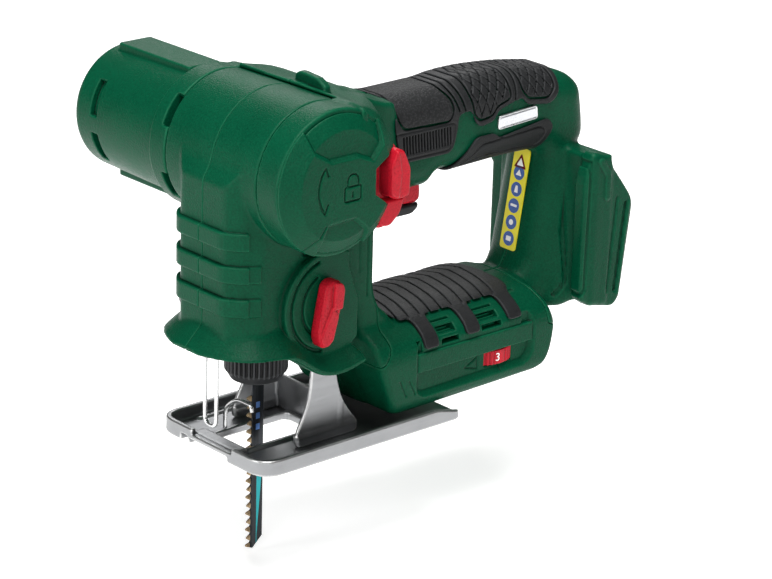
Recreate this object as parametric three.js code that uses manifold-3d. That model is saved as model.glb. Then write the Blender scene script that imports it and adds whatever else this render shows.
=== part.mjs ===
// A cordless jigsaw and sabre saw with a pivoting head, in millimetres.
// X is the cutting direction, Y points to the tool's left and Z up. The origin is on the sole, at
// the solid web behind the blade opening. Blade, plunger and housing seam lie in the plane y = 0.
// The motor lies across the tool in the barrel, and the head turns about the same axis.
import * as THREE from "three";
import { mergeVertices } from "three/addons/utils/BufferGeometryUtils.js";
import Module from "manifold-3d";

const wasm = await Module();
wasm.setup();

// ---------------------------------------------------------------- driving dimensions
const GAP = 0.3; // between pieces that touch
const WALL = 2.5; // moulded housings
const FAR = 200; // longer than anything that is cut
const ACROSS = [-FAR / 4, FAR / 4]; // wider than the tool, from side to side

const BARREL_X = 25.5; // axis of the barrel, the motor and the head's pivot
const BARREL_Z = 131.8;
const BARREL_R = 33;
const HEAD_NEAR = 30.2; // the head's two flat ends, between the yoke's discs
const HEAD_FAR = -32.2;
const DISC_FACE = 48.3; // outer face of the near disc, under its cap
const CAP_THICKNESS = 2.9;
const CAP_FLAT_R = 25;
const RING_FAR = -44.2; // outer face of the far ring
const YOKE_CLEARANCE = 0.4; // round the barrel
const YOKE_THICKNESS = 3.1;
const TRUNNION_R = 11.7;
const TRUNNION_REACH = 3; // into the head's end walls

const MOTOR_COVER_R = 30;
const MOTOR_COVER_END = -107;
const MOTOR_CAN_R = 25.5;
const MOTOR_CAN_LENGTH = 46;
const ROTOR_R = 16;
const SHAFT_R = 2.5;

const GEAR_MODULE = 1;
const PINION_TEETH = 12;
const GEAR_TEETH = 46;
const GEAR_WIDTH = 6;
const GEAR_Y = -16; // far side of the crank gear
const CRANK_THROW = 10; // half the stroke
const REST_DROP = 4; // how far below mid-stroke the plunger stands at rest

const PLUNGER_X = 32;
const PLUNGER_R = 4.5;
const PLUNGER_TOP = 134;
const YOKE_HALF = 3.6; // half thickness of the plunger's yoke
const CHUCK_R = 6.6;
const CHUCK_BOTTOM = 29.5;
const SLEEVE_R = 14.4;
const SLEEVE_BOTTOM = 31;
const SLEEVE_TOP = 57;

const NECK_FRONT = 63;
const NECK_HALF = 26; // half width of the neck
const NECK_BOTTOM = 52;
const RIB_HEIGHT = 8; // ribs round the neck's front
const RIB_PITCH = 15;
const RIB_PROUD = 1.7;
const RIB_LOWEST = 71;
const SKIRT_HALF = 34;
const SKIRT_FRONT = 69.5;
const SKIRT_RIM = 4.5;

const CLAMP_X = 15; // axis of the shoe clamp lever
const CLAMP_Z = 70;
const CLAMP_PAD_R = 25;
const CLAMP_PAD_FACE = 29.5;
const CLAMP_SHAFT_R = 5;

const BLADE_BACK = 27.8;
const BLADE_WIDTH = 6.4; // without the teeth
const BLADE_THICKNESS = 1.3;
const BLADE_TIP = -52.5;
const TOOTH_PITCH = 4;
const TOOTH_DEPTH = 2.5;

const SHOE_FRONT = 58;
const SHOE_REAR = -60;
const SHOE_HALF = 38;
const SHOE_EDGE = 7.5; // height of the turned-up edge
const SHEET = 2.2; // thickness of the shoe's sheet
const SLOT_REAR = 5; // blade opening in the shoe
const SLOT_FRONT = 47;
const SLOT_HALF = 11;
const LEG_FACE = 23; // outer face of the bracket's legs
const LEG_SHEET = 2;
const LEG_TOP = 77;

const GRIP_HALF = 19;
const COLUMN_HALF = 22;
const BODY_HALF = 34.5;
const REAR_HALF = 27;
const FLANGE_HALF = 38;
const FLANGE_SHEET = 8;
const RUBBER = 1.8; // thickness of the soft overmould
const TRIGGER_X = -49.5;
const SWITCH_Z = 122; // underside of the trigger switch
const DIAL_X = -86.5;
const DIAL_Y = 18;
const DIAL_Z = 22.7;
const DIAL_R = 16; // its rim stands in the window, just under the body's side
const DIAL_HEIGHT = 7;
const DIAL_WINDOW_HALF = 8.5;
const LOCK_REAR = BARREL_X - BARREL_R - 5; // rear edge of the lock lever
const LOCK_FLOOR = 36; // bottom of the notch that it lies in
const GUARD_X = 57.5; // the wire guard's two legs
const GUARD_HALF = 4;
const WIRE_R = 0.9;

// ---------------------------------------------------------------- colours
function finish(color, roughness, metalness = 0) {
  return () => new THREE.MeshStandardMaterial({ color, roughness, metalness });
}
const green = finish(0x00502f, 0.5);
const black = finish(0x2a2b2c, 0.75);
const red = finish(0xb31f30, 0.45);
const steel = finish(0x9a9b9d, 0.35, 1);
const darkSteel = finish(0x4a4b4e, 0.4, 1);
const brass = finish(0xb8934a, 0.35, 1);
const grey = finish(0x55585a, 0.6);
const boardGreen = finish(0x1d5c3a, 0.5);
const yellow = finish(0xe5d21e, 0.5);
const silver = finish(0xd9dadb, 0.35, 0.4);
const bladeBlack = finish(0x1b1e22, 0.4, 0.6);

// ---------------------------------------------------------------- solids
// A closed geometry as a solid, with vertices merged and faces turned outward.
function solid(geometry) {
  const bare = new THREE.BufferGeometry();
  bare.setAttribute("position", geometry.getAttribute("position").clone());
  if (geometry.index) bare.setIndex(geometry.index.clone());
  const merged = mergeVertices(bare, 1e-3);
  const index = merged.index.array;
  const position = merged.getAttribute("position");
  const at = (i) => new THREE.Vector3().fromBufferAttribute(position, i);
  const faces = [];
  let volume = 0;
  for (let i = 0; i < index.length; i += 3) {
    const [a, b, c] = index.slice(i, i + 3);
    if (a === b || b === c || c === a) continue;
    faces.push(a, b, c);
    volume += at(a).dot(at(b).cross(at(c)));
  }
  if (volume < 0) faces.reverse();
  const mesh = new wasm.Mesh({
    numProp: 3,
    vertProperties: position.array,
    triVerts: new Uint32Array(faces),
  });
  return new wasm.Manifold(mesh);
}

function join(...parts) {
  return parts.reduce((whole, part) => whole.add(part));
}

function cut(whole, ...tools) {
  return tools.reduce((rest, tool) => rest.subtract(tool), whole);
}

function outlineShape(points, holes = []) {
  const shape = new THREE.Shape(points.map(([a, b]) => new THREE.Vector2(a, b)));
  shape.holes = holes.map((hole) => new THREE.Path(hole.map(([a, b]) => new THREE.Vector2(a, b))));
  return shape;
}

// An outline pushed out along the third axis, from low to high. The bevel stays inside the outline.
function extrude(points, low, high, { holes = [], bevel = 0, steps = 1 } = {}) {
  const options = { depth: high - low, bevelEnabled: false, curveSegments: 8 };
  if (bevel > 0) {
    options.bevelEnabled = true;
    options.bevelSize = bevel;
    options.bevelThickness = bevel;
    options.bevelOffset = -bevel;
    options.bevelSegments = steps;
    options.depth = high - low - 2 * bevel;
  }
  const geometry = new THREE.ExtrudeGeometry(outlineShape(points, holes), options);
  return geometry.translate(0, 0, low + bevel);
}

// Side view outlines are (x, z) and go along Y; end views are (y, z) along X; plans (x, y) along Z.
function sideways(points, low, high, options) {
  return solid(extrude(points, -high, -low, options).rotateX(Math.PI / 2));
}

function lengthways(points, low, high, options) {
  const turn = new THREE.Matrix4().makeBasis(
    new THREE.Vector3(0, 1, 0),
    new THREE.Vector3(0, 0, 1),
    new THREE.Vector3(1, 0, 0),
  );
  return solid(extrude(points, low, high, options).applyMatrix4(turn));
}

function upward(points, low, high, options) {
  return solid(extrude(points, low, high, options));
}

function box(x0, x1, y0, y1, z0, z1) {
  const geometry = new THREE.BoxGeometry(x1 - x0, y1 - y0, z1 - z0);
  return solid(geometry.translate((x0 + x1) / 2, (y0 + y1) / 2, (z0 + z1) / 2));
}

// A profile of (radius, height) turned about Y, which is the barrel's direction.
function turnedY(profile, segments = 24) {
  return solid(new THREE.LatheGeometry(profile.map(([r, y]) => new THREE.Vector2(r, y)), segments));
}

function turnedZ(profile, segments = 24) {
  const points = profile.map(([r, z]) => new THREE.Vector2(r, z));
  return solid(new THREE.LatheGeometry(points, segments).rotateX(Math.PI / 2));
}

function rod(r, low, high) {
  return [[0, low], [r, low], [r, high], [0, high]];
}

function tube(inner, outer, low, high) {
  return [[inner, low], [outer, low], [outer, high], [inner, high], [inner, low]];
}

function rodY(r, low, high, x = 0, z = 0, segments = 24) {
  return turnedY(rod(r, low, high), segments).translate([x, 0, z]);
}

function rodZ(r, low, high, x = 0, y = 0, segments = 24) {
  return turnedZ(rod(r, low, high), segments).translate([x, y, 0]);
}

// A round wire along a path of points joined by straight runs with rounded corners.
function wire(points, radius, sides = 6) {
  const path = new THREE.CurvePath();
  const corners = points.map((p) => new THREE.Vector3(...p));
  let from = corners[0];
  for (let i = 1; i < corners.length - 1; i++) {
    const back = corners[i].distanceTo(corners[i - 1]);
    const ahead = corners[i].distanceTo(corners[i + 1]);
    const reach = Math.min(2.5, back / 2.2, ahead / 2.2);
    const before = corners[i].clone().lerp(corners[i - 1], reach / back);
    const after = corners[i].clone().lerp(corners[i + 1], reach / ahead);
    path.add(new THREE.LineCurve3(from, before));
    path.add(new THREE.QuadraticBezierCurve3(before, corners[i], after));
    from = after;
  }
  path.add(new THREE.LineCurve3(from, corners.at(-1)));
  const section = new THREE.Shape();
  section.absarc(0, 0, radius, 0, 2 * Math.PI);
  const steps = 5 * (2 * corners.length - 3);
  const options = { steps, extrudePath: path, curveSegments: sides / 2, bevelEnabled: false };
  return solid(new THREE.ExtrudeGeometry(section, options));
}

// An outline moved inward by a distance, with mitred corners.
function inset(points, distance) {
  const area = THREE.ShapeUtils.area(points.map(([a, b]) => ({ x: a, y: b })));
  const side = Math.sign(area) * distance;
  return points.map((point, i) => {
    const before = points.at(i - 1);
    const after = points[(i + 1) % points.length];
    const into = new THREE.Vector2(point[0] - before[0], point[1] - before[1]).normalize();
    const out = new THREE.Vector2(after[0] - point[0], after[1] - point[1]).normalize();
    const normal = new THREE.Vector2(-into.y - out.y, into.x + out.x).normalize();
    const reach = side / Math.max(0.35, normal.x * -into.y + normal.y * into.x);
    return [point[0] + normal.x * reach, point[1] + normal.y * reach];
  });
}

function mirrored(points) {
  return [...points, ...points.map(([a, b]) => [a, -b]).reverse()];
}

function acrossY(points) {
  return [...points, ...points.map(([a, b]) => [-a, b]).reverse()];
}

function half(whole, side) {
  const [low, high] = side > 0 ? [GAP / 2, FAR] : [-FAR, -GAP / 2];
  return whole.intersect(box(-FAR, FAR, low, high, -FAR, 2 * FAR));
}

// ---------------------------------------------------------------- the scene graph
const group = new THREE.Group();
const head = new THREE.Group();
const motor = new THREE.Group();
motor.position.set(BARREL_X, 0, BARREL_Z);
const plungerLine = new THREE.Group();
plungerLine.position.set(PLUNGER_X, 0, 0);
const crank = new THREE.Group();
group.add(head, motor);
head.add(crank, plungerLine);

function add(parent, name, shape, material) {
  const mesh = shape.getMesh();
  const geometry = new THREE.BufferGeometry();
  geometry.setAttribute("position", new THREE.BufferAttribute(new Float32Array(mesh.vertProperties), 3));
  geometry.setIndex(new THREE.BufferAttribute(new Uint32Array(mesh.triVerts), 1));
  geometry.computeVertexNormals();
  const node = new THREE.Mesh(geometry, material());
  node.name = name;
  parent.add(node);
  return node;
}

// ---------------------------------------------------------------- outlines of the D-handle
const windowOutline = [
  [-19, 105.5], [-19, 67], [-23, 57], [-30, 52.5], [-112, 50.5], [-117, 51.5], [-121, 57], [-130, 106],
  [-126, 111.5], [-107, 112.3], [-62, 111], [-57, 105.5],
];
const handleOutline = [
  [24.6, 168.1], [8, 168.1], [-8, 162.5], [-24, 155.2], [-45, 153.4], [-86, 154], [-113, 152.6],
  [-137, 148], [-147, 144.5], [-153, 138], [-155.4, 125], [-156.6, 113], [-150, 104], [-150, 38],
  [-142, 34], [-133, 33], [-123, 31], [-119.6, 19], [-116, 12], [-111, 9.5], [-26, 7], [-21, 9.5],
  [-13, 32], [-9, 51], [-2.7, 69], [3, 86], [3, 107], [24.6, 120],
];
const lowerBody = [
  [-21, 9.5], [-13, 32], [-9.5, 50], [-14, 60], [-112, 60], [-117, 47], [-122, 31], [-119.6, 19],
  [-116, 12], [-111, 9.5], [-26, 7],
];
const lowerSection = acrossY([
  [0, 4], [25, 4], [30, 6.5], [BODY_HALF, 13], [BODY_HALF, 35], [32, 42], [24, 48.5], [14, 51.7],
  [0, 52.6],
]).slice(1, -1);
const frontColumn = [
  [3, 107], [3, 86], [-2.7, 69], [-9, 51], [-13, 32], [-26, 32], [-30, 52], [-23, 57], [-19, 67],
  [-19, 107],
];
const rearColumn = [
  [-130, 111], [-130, 106], [-121, 57], [-117, 50], [-119, 32], [-133, 33.5], [-142, 36], [-142, 111],
];
const flangeOutline = [
  [-138, 114], [-148, 108], [-160, 93], [-166, 85], [-160, 37], [-156, 33], [-143, 36], [-133, 40],
  [-133, 100],
];
const shoulderPlan = mirrored([[22, 44], [-2, 44], [-14, 36], [-26, GRIP_HALF], [-34, GRIP_HALF - 2]]);
const shoulderSide = [
  [24.6, 168.1], [8, 168.1], [-8, 162.5], [-24, 155.2], [-34, 154], [-34, 122], [-19, 106], [3, 100],
  [24.6, 120],
];

// ---------------------------------------------------------------- the D-handle's housing
function barrelCylinder(r, low, high) {
  return rodY(r, low, high, BARREL_X, BARREL_Z, 40);
}

// The lock lever and the notch that it turns in, as (x, z) with x taken from the lever's rear edge.
const fromLockRear = ([x, z]) => [LOCK_REAR + x, z];
const lockNotch = [
  [-3.5, 145], [11.5, 145], [18, 137], [18, 118], [17, 104], [-3.5, 104],
].map(fromLockRear);
const lockLever = [
  [9, 144], [15.5, 137.5], [15.5, 119], [14.5, 106], [9.5, 105.5], [3.5, 111], [0, 122], [0, 134],
  [4.5, 143],
].map(fromLockRear);
const [LOCK_PIN_X, LOCK_PIN_Z] = fromLockRear([6.5, 138]);

function handleSolid() {
  const lower = sideways(lowerBody, ...ACROSS).intersect(lengthways(lowerSection, -FAR, 0));
  const nearDisc = barrelCylinder(BARREL_R, HEAD_NEAR + GAP, DISC_FACE);
  const farRing = barrelCylinder(BARREL_R, RING_FAR, HEAD_FAR - GAP);
  const seat = box(-146, -139, -FLANGE_HALF, FLANGE_HALF, 37, 110);
  const flanges = [-1, 1].map((side) => {
    const faces = [side * (FLANGE_HALF - FLANGE_SHEET), side * FLANGE_HALF];
    return sideways(flangeOutline, Math.min(...faces), Math.max(...faces), { bevel: 1.5 });
  });
  const solids = [loopBlock(0), lower, ...columnBlocks(0), shoulderBlock(0), nearDisc, farRing, seat];
  return join(...solids, ...flanges);
}

function handleCavity() {
  const halfRoom = GRIP_HALF - RUBBER - WALL;
  const grip = sideways(inset(handleOutline, WALL + 1), -halfRoom, halfRoom, {
    holes: [inset(windowOutline, -WALL - 1)],
  });
  const hollowBody = sideways(inset(lowerBody, WALL), ...ACROSS).intersect(
    lengthways(inset(lowerSection, WALL), -FAR, 0),
  );
  const keep = box(-FAR, 0, -FAR, FAR, 0, 56);
  return join(grip, hollowBody.intersect(keep));
}

function handleShells() {
  const barrelRoom = barrelCylinder(BARREL_R + YOKE_CLEARANCE, HEAD_FAR - GAP, HEAD_NEAR + GAP);
  const frontRoom = box(
    BARREL_X - 0.9, FAR, HEAD_FAR - GAP, HEAD_NEAR + GAP, 0, BARREL_Z + BARREL_R + 2 * YOKE_THICKNESS,
  );
  const neckRoom = box(3.1, FAR, HEAD_FAR - GAP, HEAD_NEAR + GAP, 0, BARREL_Z);
  const discRoom = barrelCylinder(BARREL_R - WALL, HEAD_NEAR + GAP + WALL, DISC_FACE + 1);
  const trunnionHole = barrelCylinder(TRUNNION_R + GAP, HEAD_NEAR - 1, DISC_FACE);
  const ringRoom = barrelCylinder(MOTOR_CAN_R + GAP, RING_FAR - 1, HEAD_FAR);
  const notch = sideways(lockNotch, LOCK_FLOOR, FAR / 4);
  const triggerRoom = box(TRIGGER_X - 8, TRIGGER_X + 8, -8.4, 8.4, 90, SWITCH_Z - 1);
  const dialLow = DIAL_Z - DIAL_HEIGHT / 2 - GAP;
  const dialHigh = DIAL_Z + DIAL_HEIGHT / 2 + GAP;
  const dialRoom = rodZ(DIAL_R + GAP, dialLow, dialHigh, DIAL_X, DIAL_Y);
  const dialWindow = box(
    DIAL_X - DIAL_WINDOW_HALF, DIAL_X + DIAL_WINDOW_HALF, BODY_HALF - WALL - 2, FAR, dialLow, dialHigh,
  );
  const terminalRoom = box(-151, -137, -15.3, 15.3, 52.7, 98.3);
  const rails = [-1, 1].map((side) => {
    const inner = side * (FLANGE_HALF - FLANGE_SHEET);
    const outer = inner + 3 * side;
    return box(-157, -150, Math.min(inner, outer), Math.max(inner, outer), 30, 112);
  });
  const housing = handleSolid();
  const shell = join(cut(housing, handleCavity()), ...posts(handleScrews, housing));
  const whole = cut(
    shell, ...screwRooms(handleScrews), barrelRoom, frontRoom, neckRoom, discRoom, trunnionHole, ringRoom,
    notch, triggerRoom, dialRoom, dialWindow, terminalRoom, ...rails,
  );
  add(group, "handle_shell_left", half(whole, 1), green);
  add(group, "handle_shell_right", half(whole, -1), green);
}

// ---------------------------------------------------------------- soft grips
// The handle's slim loop, grown outward on every side.
function loopBlock(grow) {
  const halfWidth = GRIP_HALF - RUBBER + grow;
  return sideways(inset(handleOutline, -grow), -halfWidth, halfWidth, {
    holes: [inset(windowOutline, grow)],
    bevel: 5,
  });
}

function shoulderBlock(grow) {
  const side = sideways(inset(shoulderSide, -grow), ...ACROSS);
  return side.intersect(upward(inset(shoulderPlan, -grow), 90, 2 * FAR));
}

function columnBlocks(grow) {
  const front = [-COLUMN_HALF - grow, COLUMN_HALF + grow];
  const rear = [-REAR_HALF - grow, REAR_HALF + grow];
  return [
    sideways(inset(frontColumn, -grow), ...front, { bevel: 2 }),
    sideways(inset(rearColumn, -grow), ...rear, { bevel: 2 }),
  ];
}

function grips() {
  const sleeve = cut(loopBlock(RUBBER), loopBlock(GAP), shoulderBlock(GAP), ...columnBlocks(GAP));
  const topOutline = [
    [-27, 160], [-31, 136], [-34.6, 122], [-65.7, 122.8], [-69, 138.8], [-78, 139], [-80, 132.6],
    [-93, 134], [-105, 138], [-111, 137], [-127.5, 135], [-133, 139], [-137, 160],
  ];
  add(group, "main_grip", sleeve.intersect(sideways(topOutline, ...ACROSS)), black);
  const underOutline = [
    [-68.8, 100], [-70, 113], [-80.6, 126], [-92, 126], [-95.2, 123.3], [-126, 127.3], [-129.5, 123],
    [-125, 113], [-124, 100],
  ];
  add(group, "under_grip", sleeve.intersect(sideways(underOutline, ...ACROSS)), black);

  const outer = lengthways(inset(lowerSection, -RUBBER), -112, -16);
  const strapWidth = 9;
  const strapPitch = 25.8;
  const firstStrap = -36.8;
  const edge = [[-16, 60], [-30, 47]];
  for (let i = 0; i < 3; i++) {
    const x = firstStrap - i * strapPitch;
    edge.push([x, 47], [x, 38.5], [x - strapWidth, 38.5], [x - strapWidth, 47]);
  }
  edge.push([-106, 47], [-112, 60]);
  const skin = cut(outer, lengthways(inset(lowerSection, -GAP), -FAR, FAR));
  const strapped = skin.intersect(sideways(edge, ...ACROSS));
  add(group, "lower_grip", largest(cut(strapped, ...columnBlocks(GAP), loopBlock(GAP))), black);
}

// The biggest of a solid's separate bodies.
function largest(whole) {
  return whole.decompose().reduce((best, body) => (body.volume() > best.volume() ? body : best));
}

// ---------------------------------------------------------------- controls on the handle
function controls() {
  const trigger = [
    [-42, 97.6], [-55, 97.2], [-57, 99], [-57, 105.5], [-53.5, 112], [-45.5, 112], [-42, 105.5],
  ];
  add(group, "trigger", sideways(trigger, -8, 8, { bevel: 1 }), red);
  const foot = [
    [-42, 97.3], [-42.5, 92.5], [-53, 92], [-56.5, 94.5], [-56.5, 97],
  ];
  const footSolid = cut(sideways(foot, -7, 7, { bevel: 1 }), box(-FAR, 0, -FAR, FAR, 96.9, FAR));
  add(group, "trigger_foot", footSolid, black);
  add(group, "trigger_switch", box(-60, -32, -9, 9, SWITCH_Z, SWITCH_Z + 14), grey);
  const turns = 4;
  const coilPoints = [];
  for (let i = 0; i <= 8 * turns; i++) {
    const angle = (i / 8) * 2 * Math.PI;
    const z = 112.8 + ((SWITCH_Z - 1.3 - 112.3) * i) / (8 * turns);
    coilPoints.push(new THREE.Vector3(TRIGGER_X + 3 * Math.cos(angle), 3 * Math.sin(angle), z));
  }
  const section = new THREE.Shape();
  section.absarc(0, 0, 0.4, 0, 2 * Math.PI);
  const extrudePath = new THREE.CatmullRomCurve3(coilPoints);
  const options = { steps: 8 * turns, extrudePath, curveSegments: 3, bevelEnabled: false };
  add(group, "trigger_spring", solid(new THREE.ExtrudeGeometry(section, options)), steel);

  const dial = rodZ(DIAL_R, DIAL_Z - DIAL_HEIGHT / 2, DIAL_Z + DIAL_HEIGHT / 2);
  const dialBore = rodZ(3, -FAR, FAR);
  const dialNode = add(group, "speed_dial", cut(dial, dialBore), red);
  dialNode.position.set(DIAL_X, DIAL_Y, 0);
  const board = box(-104, -60, -8, 24, 34, 35.6);
  const spindle = rodZ(2.6, DIAL_Z - 5, 34.5, DIAL_X, DIAL_Y);
  add(group, "control_board", join(board, spindle), boardGreen);

  add(group, "terminal_block", box(-152, -137.5, -15, 15, 53, 98), black);
  for (let i = 0; i < 3; i++) {
    const y = (i - 1) * 9;
    add(group, `contact_${i + 1}`, box(-157, -152.3, y - 0.5, y + 0.5, 60, 90), brass);
  }

  const pinR = 1.5;
  const pinHole = rodY(pinR + GAP, 0, FAR, LOCK_PIN_X, LOCK_PIN_Z, 20);
  const leverLow = LOCK_FLOOR + 1.5;
  const lever = sideways(lockLever, leverLow, leverLow + 12, { bevel: 1.5 });
  add(group, "lock_lever", cut(lever, pinHole), red);
  const pin = rodY(pinR, LOCK_FLOOR + GAP, leverLow + 11, LOCK_PIN_X, LOCK_PIN_Z, 20);
  add(group, "lock_lever_pin", pin, steel);
  const capRim = [[0, 0], [BARREL_R - 1, 0], [CAP_FLAT_R, CAP_THICKNESS], [0, CAP_THICKNESS]];
  const cap = turnedY(capRim, 40).translate([BARREL_X, DISC_FACE + GAP, BARREL_Z]);
  add(group, "pivot_cap", cut(cap, sideways(lockNotch, LOCK_FLOOR, FAR / 4)), green);
  const trunnion = turnedY([
    [0, HEAD_NEAR - TRUNNION_REACH], [TRUNNION_R, HEAD_NEAR - TRUNNION_REACH],
    [TRUNNION_R, HEAD_NEAR + 2 * GAP + WALL], [TRUNNION_R + 5, HEAD_NEAR + 2 * GAP + WALL],
    [TRUNNION_R + 5, HEAD_NEAR + 2 * GAP + WALL + 3], [0, HEAD_NEAR + 2 * GAP + WALL + 3],
  ]);
  add(motor, "near_trunnion", trunnion, steel);

  const strip = [[-120.3, 60], [-128.1, 106.5], [-127.5, 106.5], [-119.7, 60]];
  add(group, "pictogram_strip", sideways(strip, -4.5, 5.5), yellow);
  const badge = [
    [-94, 126.8], [-94.3, 133.4], [-118.5, 134.4], [-119, 128.4],
  ];
  const badgeLow = GRIP_HALF - RUBBER + GAP;
  add(group, "badge_plate", sideways(badge, badgeLow, badgeLow + 1), silver);
}

// ---------------------------------------------------------------- motor, about the barrel's axis
function motorParts() {
  const coverWall = 2.6;
  const inner = MOTOR_COVER_R - coverWall;
  const end = MOTOR_COVER_END;
  const open = RING_FAR - GAP;
  const cover = turnedY([
    [inner, open], [MOTOR_COVER_R, open], [MOTOR_COVER_R - 0.8, end + 4], [MOTOR_COVER_R - 3.5, end],
    [0, end], [0, end + coverWall], [inner - 1, end + coverWall], [inner, open],
  ]);
  const vents = [];
  for (const [from, to] of [[3, 36], [-40, -14]]) {
    const mid = ((from + to) / 2) * (Math.PI / 180);
    const r = MOTOR_COVER_R;
    const span = (to - from) * (Math.PI / 180) * r * 0.45;
    vents.push(
      box(-6, 6, -92, -88.5, -span, span)
        .rotate([0, (-mid * 180) / Math.PI, 0])
        .translate([r * Math.cos(mid), 0, r * Math.sin(mid)]),
    );
  }
  const pads = [-29.7, 29.7].map((z) => box(-9, 9, -98, -46, z - 1.5, z + 1.5));
  add(motor, "motor_cover", join(cut(cover, ...vents), ...pads), green);

  const canTop = RING_FAR - 8.5;
  const canEnd = canTop - MOTOR_CAN_LENGTH;
  const can = turnedY(tube(MOTOR_CAN_R - 2, MOTOR_CAN_R, canEnd, canTop));
  add(motor, "motor_can", can, darkSteel);
  for (const side of [-1, 1]) {
    const ring = turnedY(tube(ROTOR_R + 0.8, MOTOR_CAN_R - 2 - GAP, canEnd + 3, canTop - 3));
    const wedge = sideways([[0, 0], [30 * side, 24], [30 * side, -24]], -FAR, FAR);
    const name = side > 0 ? "magnet_front" : "magnet_rear";
    add(motor, name, ring.intersect(wedge), darkSteel);
  }
  const brushHolder = turnedY(tube(SHAFT_R + 8, MOTOR_CAN_R - 1, canEnd - 4 - GAP, canEnd - GAP));
  add(motor, "brush_holder", brushHolder, black);
  const rearBearing = turnedY(tube(SHAFT_R + GAP, SHAFT_R + 5, canEnd - 4 - GAP, canEnd - GAP), 24);
  add(motor, "rear_bearing", rearBearing, steel);

  const wallY = HEAD_FAR - GAP;
  const nose = HEAD_FAR + TRUNNION_REACH;
  const frontPlate = turnedY([
    [SHAFT_R + 1.2, RING_FAR + 3], [MOTOR_CAN_R - 1, RING_FAR + 3], [MOTOR_CAN_R - 1, wallY - GAP],
    [TRUNNION_R, wallY - GAP], [TRUNNION_R, nose], [SHAFT_R + 1.2, nose], [SHAFT_R + 1.2, RING_FAR + 3],
  ]);
  add(motor, "motor_front_plate", frontPlate, grey);

  const rotorLow = canEnd + 4;
  const rotorHigh = canTop - 4;
  const shaftHigh = GEAR_Y + GEAR_WIDTH + 0.5;
  const rotor = turnedY([
    [0, canEnd - 3.5], [SHAFT_R, canEnd - 3.5], [SHAFT_R, rotorLow - 3], [7, rotorLow - 3], [7, rotorLow],
    [ROTOR_R, rotorLow], [ROTOR_R, rotorHigh], [SHAFT_R, rotorHigh], [SHAFT_R, shaftHigh], [0, shaftHigh],
  ]);
  add(motor, "rotor", rotor, darkSteel);
  const fanHub = turnedY(tube(SHAFT_R + GAP, 8, canTop, canTop + 6), 24);
  const blades = [];
  for (let i = 0; i < 8; i++) {
    blades.push(box(7, MOTOR_CAN_R - 2, canTop + 0.2, canTop + 5, -0.7, 0.7).rotate([0, i * 45, 0]));
  }
  add(motor, "cooling_fan", join(fanHub, ...blades), black);
  const pinion = cut(gearSolid(PINION_TEETH, GEAR_WIDTH), rodY(SHAFT_R + GAP, -FAR, FAR, 0, 0, 20));
  const meshTurn = Math.atan2(crankAxis.x - BARREL_X, BARREL_Z - crankAxis.z) * (180 / Math.PI);
  add(motor, "pinion", pinion.rotate([0, -meshTurn, 0]).translate([0, GEAR_Y, 0]), steel);
}

// ---------------------------------------------------------------- crank drive
const centreDistance = (GEAR_MODULE * (PINION_TEETH + GEAR_TEETH)) / 2;
const crankDrop = Math.sqrt(centreDistance ** 2 - (PLUNGER_X - BARREL_X) ** 2);
const crankAxis = { x: PLUNGER_X, z: BARREL_Z - crankDrop };
crank.position.set(crankAxis.x, 0, crankAxis.z);

// A spur gear about Y from y = 0 up, with one tooth gap on the straight line down from its axis.
function gearSolid(teeth, width) {
  const pitch = (GEAR_MODULE * teeth) / 2;
  const root = pitch - 1.3 * GEAR_MODULE;
  const tip = pitch + 0.9 * GEAR_MODULE;
  const points = [];
  const halfAt = (share) => (share * Math.PI) / teeth;
  for (let i = 0; i < teeth; i++) {
    const middle = -Math.PI / 2 + ((i + 0.5) * 2 * Math.PI) / teeth;
    const corners = [[root, -0.62], [tip, -0.2], [tip, 0.2], [root, 0.62]];
    for (const [r, share] of corners) {
      const angle = middle + halfAt(share);
      points.push([r * Math.cos(angle), r * Math.sin(angle)]);
    }
  }
  return sideways(points, 0, width);
}

function crankParts() {
  const lightening = [];
  for (let i = 0; i < 5; i++) {
    const angle = Math.PI / 5 + (i * 2 * Math.PI) / 5;
    lightening.push(rodY(3.6, -FAR, FAR, 13.5 * Math.cos(angle), 13.5 * Math.sin(angle), 10));
  }
  // The gear's tooth that faces the pinion stands in the pinion's gap.
  const towards = Math.atan2(crankDrop, BARREL_X - PLUNGER_X) * (180 / Math.PI);
  const oneTooth = 360 / GEAR_TEETH;
  const turn = -(towards + 90) + oneTooth / 2;
  const blank = gearSolid(GEAR_TEETH, GEAR_WIDTH).rotate([0, turn, 0]);
  const gear = cut(blank, rodY(4.3, -FAR, FAR), ...lightening).translate([0, GEAR_Y, 0]);
  const pinX = Math.sqrt(CRANK_THROW ** 2 - REST_DROP ** 2);
  const pinEnd = -YOKE_HALF - 1;
  add(crank, "crank_gear", join(gear, rodY(2.4, GEAR_Y + 1, pinEnd, pinX, -REST_DROP, 16)), steel);
  const roller = turnedY(tube(2.4 + GAP, 3.8, GEAR_Y + GEAR_WIDTH + GAP, pinEnd), 20);
  add(crank, "crank_roller", roller.translate([pinX, 0, -REST_DROP]), brass);
  add(head, "crank_axle", rodY(4, -22, GEAR_Y + GEAR_WIDTH + 1, crankAxis.x, crankAxis.z, 24), steel);

  const plateLow = -22.3;
  const plateHigh = -18.6;
  const plate = box(9, 50.8, plateLow, plateHigh, 84, 146);
  const shaftHole = rodY(8.3, -FAR, FAR, BARREL_X, BARREL_Z, 24);
  const axleHole = rodY(4.3, -FAR, FAR, crankAxis.x, crankAxis.z, 24);
  add(head, "gear_plate", cut(plate, shaftHole, axleHole), grey);
  const bearing = turnedY(tube(SHAFT_R + GAP, 8, plateLow, plateHigh));
  add(motor, "front_bearing", bearing, steel);
}

// ---------------------------------------------------------------- plunger, chuck and blade
const lowerBush = [72, 81];
const upperBush = [122, 130];

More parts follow.
